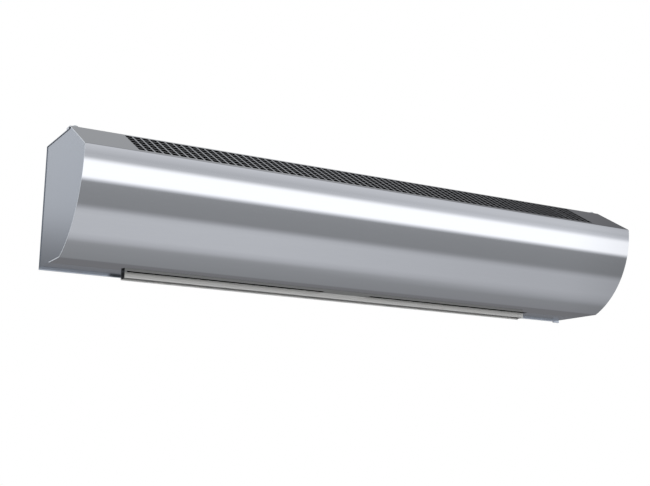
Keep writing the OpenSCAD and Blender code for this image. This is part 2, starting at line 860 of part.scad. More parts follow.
module left_motor_cap() {
    color(aluminium) mirror([1, 0, 0]) motor_cap_shape();
}

module right_motor_cap() {
    color(aluminium) motor_cap_shape();
}

module motor_stator() {
    color(steel) on_axis(-stator_half, stator_half, motor_r - motor_wall - run_gap, armature_r + air_gap);
}

module motor_windings() {
    color(copper) for (s = [0, 1]) mirror([s, 0, 0])
        on_axis(stator_half + run_gap, stator_half + winding_w, winding_out_r, winding_in_r);
}

module motor_armature() {
    color(steel) on_axis(-stator_half, stator_half, armature_r, shaft_r + run_gap);
}

// Channel bracket that carries the motor between its two cheeks
module motor_bracket() {
    color(zinc) difference() {
        union() {
            translate([-bracket_out, -bracket_back - bracket_t, bracket_low])
                cube([2 * bracket_out, bracket_t, bracket_high - bracket_low]);
            for (s = [0, 1]) mirror([s, 0, 0])
                translate([bracket_out - bracket_t, -bracket_deep, bracket_low])
                    cube([bracket_t, bracket_deep - bracket_back, bracket_high - bracket_low]);
        }
        on_axis(-bracket_out - cut, bracket_out + cut, ring_r + fit);
        translate([0, lead_corner.x, lead_corner.y]) rotate([0, 90, 0])
            cylinder(r = lead_hole_r, h = bracket_out + cut);
        for (p = bracket_screws_at) back_hole(p.x, p.y);
    }
}

module motor_rubber_rings() {
    from = bracket_out - bracket_t - ring_half_w / 2;
    color(rubber) for (s = [0, 1]) mirror([s, 0, 0])
        on_axis(from, bracket_out + ring_half_w / 2, ring_r, boss_r + fit);
}

// Finned heater tube through both bays, about its own axis
module heater_shape(at) {
    fin_side = [for (k = [0:fins - 1]) let (x = fins_from + k * fin_pitch)
        for (q = [[heater_r, x], [fin_r, x], [fin_r, x + fin_t], [heater_r, x + fin_t]]) q];
    half = concat([[heater_r, 0]], fin_side, [[heater_r, heater_half], [pin_r, heater_half],
        [pin_r, heater_half + pin_len], [0, heater_half + pin_len], [0, 0]]);
    translate([0, at.x, at.y]) for (s = [0, 1]) mirror([s, 0, 0]) rotate([0, 90, 0])
        rotate_extrude($fn = 48) polygon(half);
}

module front_heater() {
    color(steel) heater_shape(front_heater_at);
}

module rear_heater() {
    color(steel) heater_shape(rear_heater_at);
}

// Ceramic bushes of the heater tubes in the bulkheads
module heater_insulators() {
    color(ceramic) for (s = [0, 1], p = [front_heater_at, rear_heater_at]) mirror([s, 0, 0])
        translate([bulk_in - insulator_neck, p.x, p.y]) rotate([0, 90, 0]) difference() {
            union() {
                cylinder(r = insulator_r, h = insulator_neck + casing_t + insulator_flange_t);
                translate([0, 0, insulator_neck + casing_t + run_gap])
                    cylinder(r = insulator_flange_r, h = insulator_flange_t);
            }
            translate([0, 0, -cut]) cylinder(r = heater_r + run_gap, h = bearing_len + 2 * cut);
        }
}

// Overheat cut-out, screwed to the right bulkhead
module thermal_cutout() {
    color(dark_plastic) translate([bulk_out + run_gap, cutout_at.x, cutout_at.y]) rotate([0, 90, 0]) {
        cylinder(r = cutout_r, h = cutout_h);
        translate([-cutout_r * 3 / 2, -cutout_r / 2, 0]) cube([cutout_r * 3, cutout_r, cutout_foot_t]);
    }
}

// Terminal block on the back wall
module terminal_block() {
    way = block_size.x / block_ways;
    front = -casing_t - fit - block_size.y;
    color(ceramic) translate([block_at.x - block_size.x / 2, front, block_at.y - block_size.z / 2])
        difference() {
            cube(block_size);
            for (k = [0:block_ways - 1], z = [1, 3])
                translate([way * (k + 1 / 2), -cut, block_size.z * z / 4])
                    rotate([-90, 0, 0]) cylinder(r = block_hole_r, h = block_hole_deep + cut);
        }
}

module terminal_screws() {
    way = block_size.x / block_ways;
    deep = block_hole_deep - run_gap - casing_t - fit - block_size.y;
    color(bronze) for (k = [0:block_ways - 1], z = [1, 3])
        translate([block_at.x + way * (k + 1 / 2) - block_size.x / 2, deep,
                block_at.y + block_size.z * (z - 2) / 4])
            rotate([90, 0, 0]) cylinder(r = block_hole_r - run_gap, h = block_hole_deep / 2);
}

// Board with the heater relays
module relay_board() {
    color(board_green) translate([board_at.x - board_size.x / 2, -board_at.y - board_size.y,
            board_at.z - board_size.z / 2])
        cube(board_size);
}

module board_spacers() {
    color(dark_plastic) for (x = [-1, 1], z = [-1, 1])
        translate([board_at.x + x * (board_size.x / 2 - spacer_in), -casing_t - run_gap,
                board_at.z + z * (board_size.z / 2 - spacer_in)])
            rotate([90, 0, 0]) cylinder(r = spacer_r, h = board_at.y - casing_t - 2 * run_gap);
}

module relays() {
    color("navy") for (p = relay_places)
        translate([board_at.x + p.x - relay_size.x / 2, -board_at.y - board_size.y - run_gap - relay_size.y,
                board_at.z + p.y - relay_size.z / 2])
            cube(relay_size);
}

// Run capacitor of the motor
module run_capacitor() {
    color(aluminium) translate([cap_can_at.x - cap_can_len / 2, cap_can_y, cap_can_at.z]) rotate([0, 90, 0])
        cylinder(r = cap_can_r, h = cap_can_len);
}

// Clip round the capacitor, on the back wall
module capacitor_clip() {
    color(zinc) translate([cap_can_at.x - clip_w / 2, cap_can_y, cap_can_at.z]) difference() {
        union() {
            rotate([0, 90, 0]) cylinder(r = cap_can_r + fit + clip_t, h = clip_w);
            translate([0, cap_can_r - clip_t, -cap_can_r]) cube([clip_w, 2 * clip_t + fit, 2 * cap_can_r]);
        }
        translate([-cut, 0, 0]) rotate([0, 90, 0]) cylinder(r = cap_can_r + fit, h = clip_w + 2 * cut);
    }
}

// Rubber grommet of the supply cable, in the flat top
module cable_grommet() {
    flange_in = half_h - casing_t - grommet_flange_t;
    color(rubber) translate([grommet_at.x, grommet_at.y, 0]) difference() {
        union() {
            translate([0, 0, flange_in]) cylinder(r = grommet_r, h = casing_t + 2 * grommet_flange_t);
            translate([0, 0, half_h + run_gap]) cylinder(r = grommet_flange_r, h = grommet_flange_t);
            translate([0, 0, flange_in - run_gap]) cylinder(r = grommet_flange_r, h = grommet_flange_t);
        }
        translate([0, 0, flange_in - cut])
            cylinder(r = grommet_bore_r, h = casing_t + 2 * grommet_flange_t + 2 * cut);
    }
}

// Moulded housing of the three switches, through the right end plate
module switch_housing() {
    flange_y = housing_half_y + switch_flange_w;
    flange_z = housing_half_z + switch_flange_w;
    color(dark_plastic) translate([0, switch_at.x, switch_at.y]) {
        difference() {
            union() {
                translate([housing_back, -housing_half_y, -housing_half_z])
                    cube([plate_out - housing_back + switch_flange_t, 2 * housing_half_y,
                        2 * housing_half_z]);
                translate([plate_out + run_gap, -flange_y, -flange_z])
                    cube([switch_flange_t - run_gap, 2 * flange_y, 2 * flange_z]);
            }
            for (k = [-1:1])
                translate([housing_back + switch_wall, k * key_pitch - key_w / 2 - key_gap, -cavity_half_l])
                    cube([cavity_deep * 3, key_w + 2 * key_gap, 2 * cavity_half_l]);
        }
        for (k = [-1:1]) translate([key_axis_x, k * key_pitch - key_w / 2 - key_gap - cut, 0])
            rotate([-90, 0, 0]) cylinder(r = key_pin_r, h = key_w + 2 * key_gap + 2 * cut);
    }
}

// Blade terminals behind the switches
module switch_terminals() {
    color(bronze) for (k = [-1:1], z = [-1, 1])
        translate([housing_back - run_gap - blade_terminal.x,
                switch_at.x + k * key_pitch - blade_terminal.y / 2,
                switch_at.y + z * housing_half_z / 2 - blade_terminal.z / 2])
            cube(blade_terminal);
}

// Rocker key in the place given, tilted to its off side
module rocker_key(place) {
    translate([key_axis_x, switch_at.x + place * key_pitch + key_w / 2, switch_at.y]) rotate([90, 0, 0])
        linear_extrude(key_w) rotate(-key_tilt) difference() {
            polygon([[key_rise, 0], [key_end_rise, key_l / 2], [key_neck, key_l / 2],
                [-key_foot, key_foot_half], [-key_foot, -key_foot_half], [key_neck, -key_l / 2],
                [key_end_rise, -key_l / 2]]);
            circle(r = key_pin_r + run_gap);
        }
}

module fan_key() {
    color("white") rocker_key(-1);
}

module low_heat_key() {
    color("red") rocker_key(0);
}

module high_heat_key() {
    color("red") rocker_key(1);
}

// Lead from the motor, through the bracket and the bulkhead, to the board
module motor_lead() {
    start = [motor_half / 2, axis.x + (motor_r + lead_r / 2) * cos(lead_start_deg),
        axis.y + (motor_r + lead_r / 2) * sin(lead_start_deg)];
    lifted = start + lead_lift * [0, cos(lead_start_deg), sin(lead_start_deg)];
    corner = [motor_half, lead_corner.x, lead_corner.y];
    far = [bulk_out + flange_w, lead_corner.x, lead_corner.y];
    board_top = [board_at.x - board_size.x / 2 + spacer_in, -board_at.y - board_size.y - lead_r,
        board_at.z + board_size.z / 2];
    above = board_top + [-lead_lift, 0, lead_lift];
    color(rubber) lead(route([start, lifted, corner, far, above, board_top], lead_bend / 2),
        lead_r, unit([1, 2, -1]));
}

// Leads of the heaters: two to the terminal block and a link at the left end
module heater_leads() {
    tip = heater_half + pin_len;
    top = block_at.y + block_size.z / 2;
    landing_y = -casing_t - fit - block_size.y / 2;
    side = unit([1, 1, 3]);
    color(rubber) {
        lead(route([[tip, front_heater_at.x, front_heater_at.y],
            [tip + lead_bend, front_heater_at.x, front_heater_at.y],
            [block_at.x + lead_bend, landing_y, top + lead_lift],
            [block_at.x + lead_bend, landing_y, top]], lead_bend / 2), lead_r, side);
        lead(route([[tip, rear_heater_at.x, rear_heater_at.y],
            [tip + lead_bend, rear_heater_at.x, rear_heater_at.y],
            [block_at.x - lead_bend, landing_y, top + lead_lift],
            [block_at.x - lead_bend, landing_y, top]], lead_bend / 2), lead_r, side);
        lead(route([[-tip, front_heater_at.x, front_heater_at.y],
            [-tip - lead_bend * 2, front_heater_at.x, front_heater_at.y],
            [-tip - lead_bend * 2, rear_heater_at.x, rear_heater_at.y],
            [-tip, rear_heater_at.x, rear_heater_at.y]], lead_bend / 2), lead_r, side);
    }
}

// Lead from the switches to the board
module switch_lead() {
    from = [housing_back - blade_terminal.x - run_gap * 2, switch_at.x + key_pitch,
        switch_at.y + housing_half_z / 2];
    to = [board_at.x + board_size.x / 2 - spacer_in, -board_at.y - board_size.y,
        board_at.z - board_size.z / 4];
    along = [from, from - [lead_lift, 0, 0], to - [0, 2 * lead_lift, 0], to];
    color(rubber) lead(route(along, lead_bend / 2), lead_r, unit([1, 1, 3]));
}

// Earth stud with its nut on the back wall
module earth_stud() {
    color(bronze) translate([stud_at.x, 0, stud_at.y]) rotate([90, 0, 0]) {
        cylinder(r = screw_r, h = stud_len);
        translate([0, 0, casing_t + run_gap]) cylinder(r = nut_r, h = nut_h, $fn = 6);
    }
}

// Screws of the lip, one at each end
module cover_screws() {
    color(zinc) for (s = [-1, 1]) translate([s * lip_screw.x, lip_screw.y, lip_top])
        pan_screw(lip_rise + casing_t + screw_r);
}

// Screws of the end plates and bulkheads in the back wall
module casing_screws() {
    color(zinc) for (s = [-1, 1], z = flange_screw_z, x = [flange_screw_x, bulk_screw_x])
        back_screw(s * x, z, inner_back + casing_t);
}

module bracket_screws() {
    color(zinc) for (p = bracket_screws_at) back_screw(p.x, p.y, bracket_back + bracket_t);
}

// Screws that join the nozzle profiles to the air guides
module nozzle_screws() {
    color(zinc) for (x = nozzle_screw_x) {
        translate([x, -nozzle_front_d - fit - guide_t, nozzle_screw_z]) rotate([90, 0, 0])
            pan_screw(guide_t + fit + nozzle_t, small_head_r, small_head_h);
        translate([x, -nozzle_rear_d - nozzle_t, nozzle_screw_z]) rotate([90, 0, 0])
            pan_screw(guide_t + fit + nozzle_t, small_head_r, small_head_h);
    }
}

back_panel();
left_end_plate();
right_end_plate();
front_panel();
intake_panel();
nozzle_front_profile();
nozzle_rear_profile();
left_nozzle_end();
right_nozzle_end();
air_vane();
left_bulkhead();
right_bulkhead();
left_rear_air_guide();
right_rear_air_guide();
left_front_air_guide();
right_front_air_guide();
left_fan_rotor();
right_fan_rotor();
motor_shaft();
left_coupling();
right_coupling();
left_stub_shaft();
right_stub_shaft();
left_bearing();
right_bearing();
left_bearing_rubber();
right_bearing_rubber();
motor_can();
left_motor_cap();
right_motor_cap();
motor_stator();
motor_windings();
motor_armature();
motor_bracket();
motor_rubber_rings();
front_heater();
rear_heater();
heater_insulators();
thermal_cutout();
terminal_block();
terminal_screws();
relay_board();
board_spacers();
relays();
run_capacitor();
capacitor_clip();
cable_grommet();
switch_housing();
switch_terminals();
fan_key();
low_heat_key();
high_heat_key();
motor_lead();
heater_leads();
switch_lead();
earth_stud();
cover_screws();
casing_screws();
bracket_screws();
nozzle_screws();
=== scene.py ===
"""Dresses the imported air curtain: sheet covers, switch keys, finishes, studio and camera."""

import math

import bmesh
import bpy
from bpy.props import FloatProperty, FloatVectorProperty, IntProperty, PointerProperty
from bpy.types import Operator, Panel, PropertyGroup
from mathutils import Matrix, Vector


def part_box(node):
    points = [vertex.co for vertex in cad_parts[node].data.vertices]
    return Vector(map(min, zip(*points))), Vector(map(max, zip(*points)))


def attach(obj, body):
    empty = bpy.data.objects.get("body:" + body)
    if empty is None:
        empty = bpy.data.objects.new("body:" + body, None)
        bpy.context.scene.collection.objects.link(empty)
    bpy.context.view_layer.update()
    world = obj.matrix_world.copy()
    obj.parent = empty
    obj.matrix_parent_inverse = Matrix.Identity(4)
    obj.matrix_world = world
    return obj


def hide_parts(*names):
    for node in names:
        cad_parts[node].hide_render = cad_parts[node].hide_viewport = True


bl_info = {
    "name": "Air Curtain",
    "version": (1, 0, 0),
    "blender": (4, 5, 0),
    "location": "View3D > Sidebar > Air Curtain",
    "description": "Covers, switch keys, finishes and studio of an over-door air curtain",
    "category": "Object",
}

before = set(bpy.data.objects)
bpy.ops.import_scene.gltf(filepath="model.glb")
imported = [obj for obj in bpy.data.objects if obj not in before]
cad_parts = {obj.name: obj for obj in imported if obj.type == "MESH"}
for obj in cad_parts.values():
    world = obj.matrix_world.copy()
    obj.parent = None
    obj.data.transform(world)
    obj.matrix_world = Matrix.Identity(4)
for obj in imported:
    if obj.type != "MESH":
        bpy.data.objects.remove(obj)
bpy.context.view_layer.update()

MM = 0.001
NEAR = 0.02 * MM

# Section of the casing in millimetres, y towards the wall and z up
HALF_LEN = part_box("front_panel")[1].x / MM
FOLD = (-207.0, 55.0)
CHIN = (-110.0, -100.0)
CREST = (-123.5, 103.2)
ARC_CENTRE = (-42.07, 50.365)
SLOPE_DEG = 30.0
FLANGE_BACK = -55.7
BRIDGE_HALF = 48.0
BRIDGE_REACH = 13.3
SEAM_EDGE = 2.0
SEAM = 0.1
RETURN_IN = 1.9
RETURN_RUN = 2.0
RETURN_LEN = 4.0
ARC_STEPS = 72
CHIN_TURN_DEG = 24.3
FOLD_TURN_DEG = 120.0
HEM_STEPS = 12
HOLE_WEB = 1.0
CUT_ZONE = 1.0
LIP_END = -107.5
HEM_R = 1.5
HEM_W = 12.0

# Softened edges of foam
FOAM_EDGE = 0.5

# Black foam pads under the slope, painted shade that darkens the inside seen through the intake holes:
# along x, up the slope, and how far under the outer face
SHADE_PAD_X = [(-462.0, -414.4), (-411.2, 411.2), (414.4, 462.0)]
SHADE_PAD_S = (9.0, 95.0)
SHADE_PAD_UNDER = 2.2
SHADE_PAD_T = 3.0

# Black foam strip in the slot between the bottom flange and the nozzle, painted shade for the slot's dark
# inside: along x, across y and its height
SHADE_STRIP_X = [(-408.0, -48.6), (48.6, 408.0)]
SHADE_STRIP_Y = (-55.4, -42.2)
SHADE_STRIP_Z = (-99.4, -95.0)

# Switch keys: the three axes along y, their height and their tilt
KEY_AXIS_X = 535.5
KEY_Z = -30.0
KEY_PLACES = {"fan": -84.7, "low_heat": -70.0, "high_heat": -55.3}
KEY_RISE = 5.5
KEY_END_RISE = 6.85
KEY_NECK = 4.5
KEY_FOOT = 3.0
KEY_FOOT_HALF = 5.0
KEY_TILT_DEG = 7.0
KEY_CROWN = 2.5
MARK_PLACE = 0.55
MARK_T = 0.3
BAR_W = 0.6


def colour(code):
    """Linear red, green, blue and alpha of an sRGB hex colour."""
    parts = [int(code[i:i + 2], 16) / 255 for i in (0, 2, 4)]
    return [c / 12.92 if c <= 0.04045 else ((c + 0.055) / 1.055) ** 2.4 for c in parts] + [1.0]


def hex_property(name, description, code):
    """A colour that the user can change, given as sRGB hex."""
    return FloatVectorProperty(name=name, description=description, subtype="COLOR", size=4,
                               min=0.0, max=1.0, default=colour(code))


def length_property(name, description, size_mm):
    """A length that the user can change, given in millimetres."""
    return FloatProperty(name=name, description=description, default=size_mm * MM, min=0.0,
                         unit="LENGTH", subtype="DISTANCE", precision=4)


class CoverSizes(PropertyGroup):
    sheet: length_property("Sheet", "Thickness of the front sheet", 1.5)
    intake_sheet: length_property("Intake sheet", "Thickness of the punched sheet", 0.2)
    bend: length_property("Bend radius", "Outer radius of the sharp bends", 0.9)
    chin_bend: length_property("Lower bend radius", "Outer radius of the bend under the front", 4.0)
    end_sheet: length_property("Intake ends", "Thickness of the punched sheet at its two ends", 1.4)
    edge: length_property("Edge", "Rounded edge of the cut sheet", 0.15)
    pitch_x: length_property("Pitch along", "Spacing of the intake holes along the casing", 13.6)
    pitch_s: length_property("Pitch across", "Spacing of the intake holes up the slope", 13.6)
    hole_w: length_property("Hole width", "Width of an intake hole along the casing", 10.8)
    hole_l: length_property("Hole length", "Length of an intake hole up the slope", 12.2)
    hole_corner: length_property("Hole corner", "Corner radius of an intake hole", 1.4)
    hole_start: length_property("Plain edge", "Plain sheet between the fold and the first holes", 10.0)
    columns: IntProperty(name="Columns", description="Holes along the intake", default=67, min=1)
    rows: IntProperty(name="Rows", description="Holes up the slope", default=6, min=1)


class KeySizes(PropertyGroup):
    width: length_property("Width", "Width of a switch key", 12.4)
    length: length_property("Length", "Length of a switch key", 22.0)
    edge: length_property("Edge", "Rounding of the moulded edges", 0.6)
    mark: length_property("Mark", "Height of the on and off marks", 3.2)


class FinishColours(PropertyGroup):
    stainless: hex_property("Stainless", "Brushed stainless sheet", "CDCFD4")
    # Pale colour of the cut edge: partly its own finish, partly a painted highlight
    sheared_highlight: hex_property("Sheared edge", "Cut edge of the stainless sheet", "EAF0F8")
    paint: hex_property("Paint", "Silver coating of the casing", "C6CDD8")
    aluminium: hex_property("Aluminium", "Anodised aluminium strips", "D2D2D0")
    plastic: hex_property("Plastic", "Moulded black plastic", "1B1C1E")
    fan_key: hex_property("Fan key", "Key of the fan switch", "E8E6E0")
    heat_key: hex_property("Heat keys", "Keys of the heater switches", "B3261C")


class StudioSettings(PropertyGroup):
    lens: FloatProperty(name="Lens", description="Focal length of the camera on a 36 mm sensor",
                        default=60.821, min=1.0, unit="CAMERA")
    camera_at: FloatVectorProperty(name="Camera", description="Place of the camera", subtype="TRANSLATION",
                                   default=(-0.99854, -1.71697, -0.39638))
    camera_turn: FloatVectorProperty(name="Camera turn", description="Turn of the camera about x, y and z",
                                     subtype="EULER",
                                     default=[math.radians(a) for a in (101.334, -0.935, -29.933)])
    floor_z: FloatProperty(name="Floor", description="Height of the floor", default=-0.75,
                           unit="LENGTH", subtype="DISTANCE")
    floor_size: FloatProperty(name="Floor size", description="Side of the floor", default=12.0,
                              unit="LENGTH", subtype="DISTANCE")
    soft_light: FloatProperty(name="Soft light", description="Brightness of the light all round",
                              default=0.5, min=0.0)


# Modelling by hand

def start_piece(name, add, at, size):
    """Adds a primitive at its place and size, all in millimetres, and leaves it alone selected."""
    bpy.ops.object.select_all(action="DESELECT")
    add(size=1.0)
    piece = bpy.context.object
    piece.name = name
    piece.data.name = name
    piece.location = Vector(at) * MM
    piece.scale = [s * MM for s in size]
    bpy.ops.object.transform_apply(location=True, rotation=True, scale=True)
    return piece


def choose(piece):
    """Makes the piece the only one selected."""
    bpy.ops.object.select_all(action="DESELECT")
    piece.select_set(True)
    bpy.context.view_layer.objects.active = piece


def pick(piece, kind, test):
    """In edit mode, selects the vertices, edges or faces whose vertices all pass the test.

    An empty choice raises an error, because the next step would work on nothing.
    """
    bpy.ops.mesh.select_mode(type=kind)
    bpy.ops.mesh.select_all(action="DESELECT")
    mesh = bmesh.from_edit_mesh(piece.data)
    if kind == "VERT":
        for vertex in mesh.verts:
            vertex.select_set(test(vertex.co))
    else:
        for part in mesh.edges if kind == "EDGE" else mesh.faces:
            if all(test(v.co) for v in part.verts):
                part.select_set(True)
    mesh.select_flush_mode()
    bmesh.update_edit_mesh(piece.data)
    if not any(vertex.select for vertex in mesh.verts):
        raise RuntimeError(f"nothing was found to pick on {piece.name}")


def near(value, size_mm):
    """True where a coordinate lies on a plane given in millimetres."""
    return abs(value - size_mm * MM) < NEAR


def extrude(step_mm):
    """Extrudes what is selected by a step in millimetres."""
    bpy.ops.mesh.extrude_region_move(TRANSFORM_OT_translate={"value": Vector(step_mm) * MM})


def face_outwards(piece, test, outward):
    """Turns a sheet so that the faces that pass the test look outward."""
    bpy.ops.mesh.select_all(action="SELECT")
    bpy.ops.mesh.remove_doubles(threshold=NEAR)
    bpy.ops.mesh.normals_make_consistent(inside=False)
    mesh = bmesh.from_edit_mesh(piece.data)
    total = sum((f.normal for f in mesh.faces if test(f.calc_center_median())), Vector())
    if total.dot(Vector(outward)) < 0:
        bpy.ops.mesh.flip_normals()


def apply_modifier(piece, kind, **settings):
    """Adds a modifier, sets it and applies it."""
    choose(piece)
    modifier = piece.modifiers.new(kind.title(), kind)
    for key, value in settings.items():
        setattr(modifier, key, value)
    bpy.ops.object.modifier_apply(modifier=modifier.name)


def finish_sheet(piece, sheet, end_sheet, edge):
    """Gives a folded sheet its wall, with its own thickness at the two ends, and breaks its cut edges.

    An edge of zero leaves them sharp.
    """
    choose(piece)
    bpy.ops.object.vertex_group_add()
    bpy.ops.object.mode_set(mode="EDIT")
    pick(piece, "VERT", lambda p: near(abs(p.x), HALF_LEN))
    bpy.ops.object.vertex_group_assign()
    bpy.ops.object.mode_set(mode="OBJECT")
    apply_modifier(piece, "SOLIDIFY", thickness=end_sheet, offset=-1.0, use_even_offset=True,
                   vertex_group=piece.vertex_groups[0].name, thickness_vertex_group=sheet / end_sheet)
    choose(piece)
    bpy.ops.object.vertex_group_remove(all=True)
    if edge:
        apply_modifier(piece, "BEVEL", width=edge, segments=2, limit_method="ANGLE",
                       angle_limit=math.radians(50.0), harden_normals=False)
    choose(piece)
    bpy.ops.object.mode_set(mode="EDIT")
    bpy.ops.mesh.select_all(action="SELECT")
    bpy.ops.mesh.remove_doubles(threshold=NEAR / 20)
    bpy.ops.object.mode_set(mode="OBJECT")
    # Below the 22.5 degree steps of the rounded edge, which would otherwise tilt the long flat faces
    bpy.ops.object.shade_smooth_by_angle(angle=math.radians(20.0))


def place(piece, body, slot, *nodes):
    """Rides the piece on its body and hides the CAD nodes that it stands for. The slot is not used."""
    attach(piece, body)
    if nodes:
        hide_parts(*nodes)


def join_foam(blocks, name):
    """Joins the black foam blocks of painted shade into one piece with softened edges, which rides on the
    casing.
    """
    for block in blocks:
        block.select_set(True)
    bpy.ops.object.join()
    foam = bpy.context.object
    apply_modifier(foam, "BEVEL", width=FOAM_EDGE * MM, segments=2, limit_method="ANGLE",
                   angle_limit=math.radians(50.0))
    foam.name = foam.data.name = name
    place(foam, "casing", "black_rubber")


class AIRCURTAIN_OT_front_cover(Operator):
    """Folds the curved front from one sheet: bottom flange, bridge, curve and upper return"""

    bl_idname = "air_curtain.front_cover"
    bl_label = "Add the front cover"

    def execute(self, context):
        sizes = context.scene.air_curtain_covers
        cover = start_piece("front_cover", bpy.ops.mesh.primitive_plane_add,
                            (0, (CHIN[0] + FLANGE_BACK) / 2, CHIN[1]),
                            (2 * HALF_LEN, FLANGE_BACK - CHIN[0], 1))
        bpy.ops.object.mode_set(mode="EDIT")
        for x in (-BRIDGE_HALF, BRIDGE_HALF):
            bpy.ops.mesh.select_all(action="SELECT")
            bpy.ops.mesh.bisect(plane_co=(x * MM, 0, 0), plane_no=(1, 0, 0))
        pick(cover, "EDGE", lambda p: near(p.y, FLANGE_BACK) and abs(p.x) < (BRIDGE_HALF + 1) * MM)
        extrude((0, BRIDGE_REACH, 0))
        pick(cover, "EDGE", lambda p: near(p.y, CHIN[0]))
        start = math.atan2(CHIN[1] - ARC_CENTRE[1], CHIN[0] - ARC_CENTRE[0])
        end = math.atan2(FOLD[1] - ARC_CENTRE[1], FOLD[0] - ARC_CENTRE[0]) - 2 * math.pi
        bpy.ops.mesh.spin(steps=ARC_STEPS, angle=start - end, axis=(1, 0, 0),
                          center=(0, ARC_CENTRE[0] * MM, ARC_CENTRE[1] * MM))
        slope = math.radians(SLOPE_DEG)
        up = Vector((0, math.cos(slope), math.sin(slope)))
        under = Vector((0, math.sin(slope), -math.cos(slope)))
        extrude(SEAM_EDGE * up)
        extrude(RETURN_RUN * up + RETURN_IN * under)
        extrude(RETURN_LEN * up)
        bpy.ops.mesh.select_all(action="SELECT")
        bpy.ops.mesh.remove_doubles(threshold=NEAR)
        pick(cover, "EDGE", lambda p: near(p.y, CHIN[0]) and near(p.z, CHIN[1]))
        bpy.ops.mesh.bevel(offset=sizes.chin_bend * math.tan(math.radians(CHIN_TURN_DEG) / 2), segments=4,
                           affect="EDGES")
        pick(cover, "EDGE", lambda p: near(p.z, FOLD[1]) and near(p.y, FOLD[0]))
        bpy.ops.mesh.bevel(offset=sizes.bend * math.tan(math.radians(FOLD_TURN_DEG) / 2), segments=5,
                           affect="EDGES")
        face_outwards(cover, lambda p: near(p.z, CHIN[1]), (0, 0, -1))
        bpy.ops.object.mode_set(mode="OBJECT")
        finish_sheet(cover, sizes.sheet, sizes.sheet, sizes.edge)
        place(cover, "casing", "brushed_stainless", "front_panel")
        return {"FINISHED"}


class AIRCURTAIN_OT_intake_cover(Operator):
    """Punches the sloping intake sheet and rolls its lip over the flat top"""

    bl_idname = "air_curtain.intake_cover"
    bl_label = "Add the intake cover"

    def execute(self, context):
        sizes = context.scene.air_curtain_covers
        pitch_x, pitch_s = sizes.pitch_x / MM, sizes.pitch_s / MM
        cols, rows = sizes.columns, sizes.rows
        slope = math.radians(SLOPE_DEG)
        slope_len = (CREST[1] - FOLD[1]) / math.sin(slope)
        first_x = -(cols - 1) * pitch_x / 2
        first_s = (sizes.hole_start + sizes.hole_l / 2) / MM
        cover = start_piece("intake_cover", bpy.ops.mesh.primitive_plane_add,
                            (first_x, first_s, 0), (pitch_x, pitch_s, 1))
        bpy.ops.object.mode_set(mode="EDIT")
        bpy.ops.mesh.select_all(action="SELECT")
        bpy.ops.mesh.inset(thickness=HOLE_WEB * MM)
        centre = (first_x * MM, first_s * MM, 0)
        bpy.ops.transform.resize(value=(sizes.hole_w / MM / (pitch_x - 2 * HOLE_WEB),
                                        sizes.hole_l / MM / (pitch_s - 2 * HOLE_WEB), 1),
                                 center_override=centre)
        bpy.ops.mesh.bevel(offset=sizes.hole_corner * math.sqrt(0.5) * 0.8, segments=3, affect="VERTICES")
        half_w, half_l = sizes.hole_w / 2, sizes.hole_l / 2
        pick(cover, "FACE", lambda p: (abs(p.x - centre[0]) < half_w + NEAR
                                       and abs(p.y - centre[1]) < half_l + NEAR))
        bpy.ops.mesh.delete(type="FACE")
        bpy.ops.object.mode_set(mode="OBJECT")
        apply_modifier(cover, "ARRAY", count=cols, use_relative_offset=False, use_constant_offset=True,
                       constant_offset_displace=(sizes.pitch_x, 0, 0), use_merge_vertices=True,
                       merge_threshold=NEAR)
        apply_modifier(cover, "ARRAY", count=rows, use_relative_offset=False, use_constant_offset=True,
                       constant_offset_displace=(0, sizes.pitch_s, 0), use_merge_vertices=True,
                       merge_threshold=NEAR)
        edge_x = -first_x + pitch_x / 2
        start = SEAM_EDGE + SEAM
        low = first_s - pitch_s / 2
        high = low + rows * pitch_s
        choose(cover)
        bpy.ops.object.mode_set(mode="EDIT")
        for side in (-1, 1):
            pick(cover, "EDGE", lambda p: near(p.x, side * edge_x))
            extrude((side * (HALF_LEN - edge_x), 0, 0))
        pick(cover, "EDGE", lambda p: near(p.y, low))
        extrude((0, start - low, 0))
        pick(cover, "EDGE", lambda p: near(p.y, high))
        extrude((0, slope_len - high, 0))
        bpy.ops.object.mode_set(mode="OBJECT")
        cover.location = (0, FOLD[0] * MM, FOLD[1] * MM)
        cover.rotation_euler = (slope, 0, 0)
        choose(cover)
        bpy.ops.object.transform_apply(location=True, rotation=True, scale=True)
        bpy.ops.object.mode_set(mode="EDIT")
        pick(cover, "EDGE", lambda p: near(p.z, CREST[1]))
        extrude((0, LIP_END - CREST[0], 0))
        bpy.ops.mesh.spin(steps=HEM_STEPS, angle=math.pi, axis=(1, 0, 0),
                          center=(0, LIP_END * MM, (CREST[1] - HEM_R) * MM))
        extrude((0, -HEM_W, 0))
        bpy.ops.mesh.select_all(action="SELECT")
        bpy.ops.mesh.remove_doubles(threshold=NEAR)
        pick(cover, "EDGE", lambda p: near(p.z, CREST[1]) and near(p.y, CREST[0]))
        bpy.ops.mesh.bevel(offset=sizes.chin_bend * math.tan(slope / 2), segments=4, affect="EDGES")
        face_outwards(cover, lambda p: p.z < (CREST[1] - 2 * HEM_R) * MM,
                      (0, -math.sin(slope), math.cos(slope)))
        bpy.ops.object.mode_set(mode="OBJECT")
        finish_sheet(cover, sizes.intake_sheet, sizes.end_sheet, 0.0)
        place(cover, "casing", "brushed_stainless", "intake_panel")
        return {"FINISHED"}


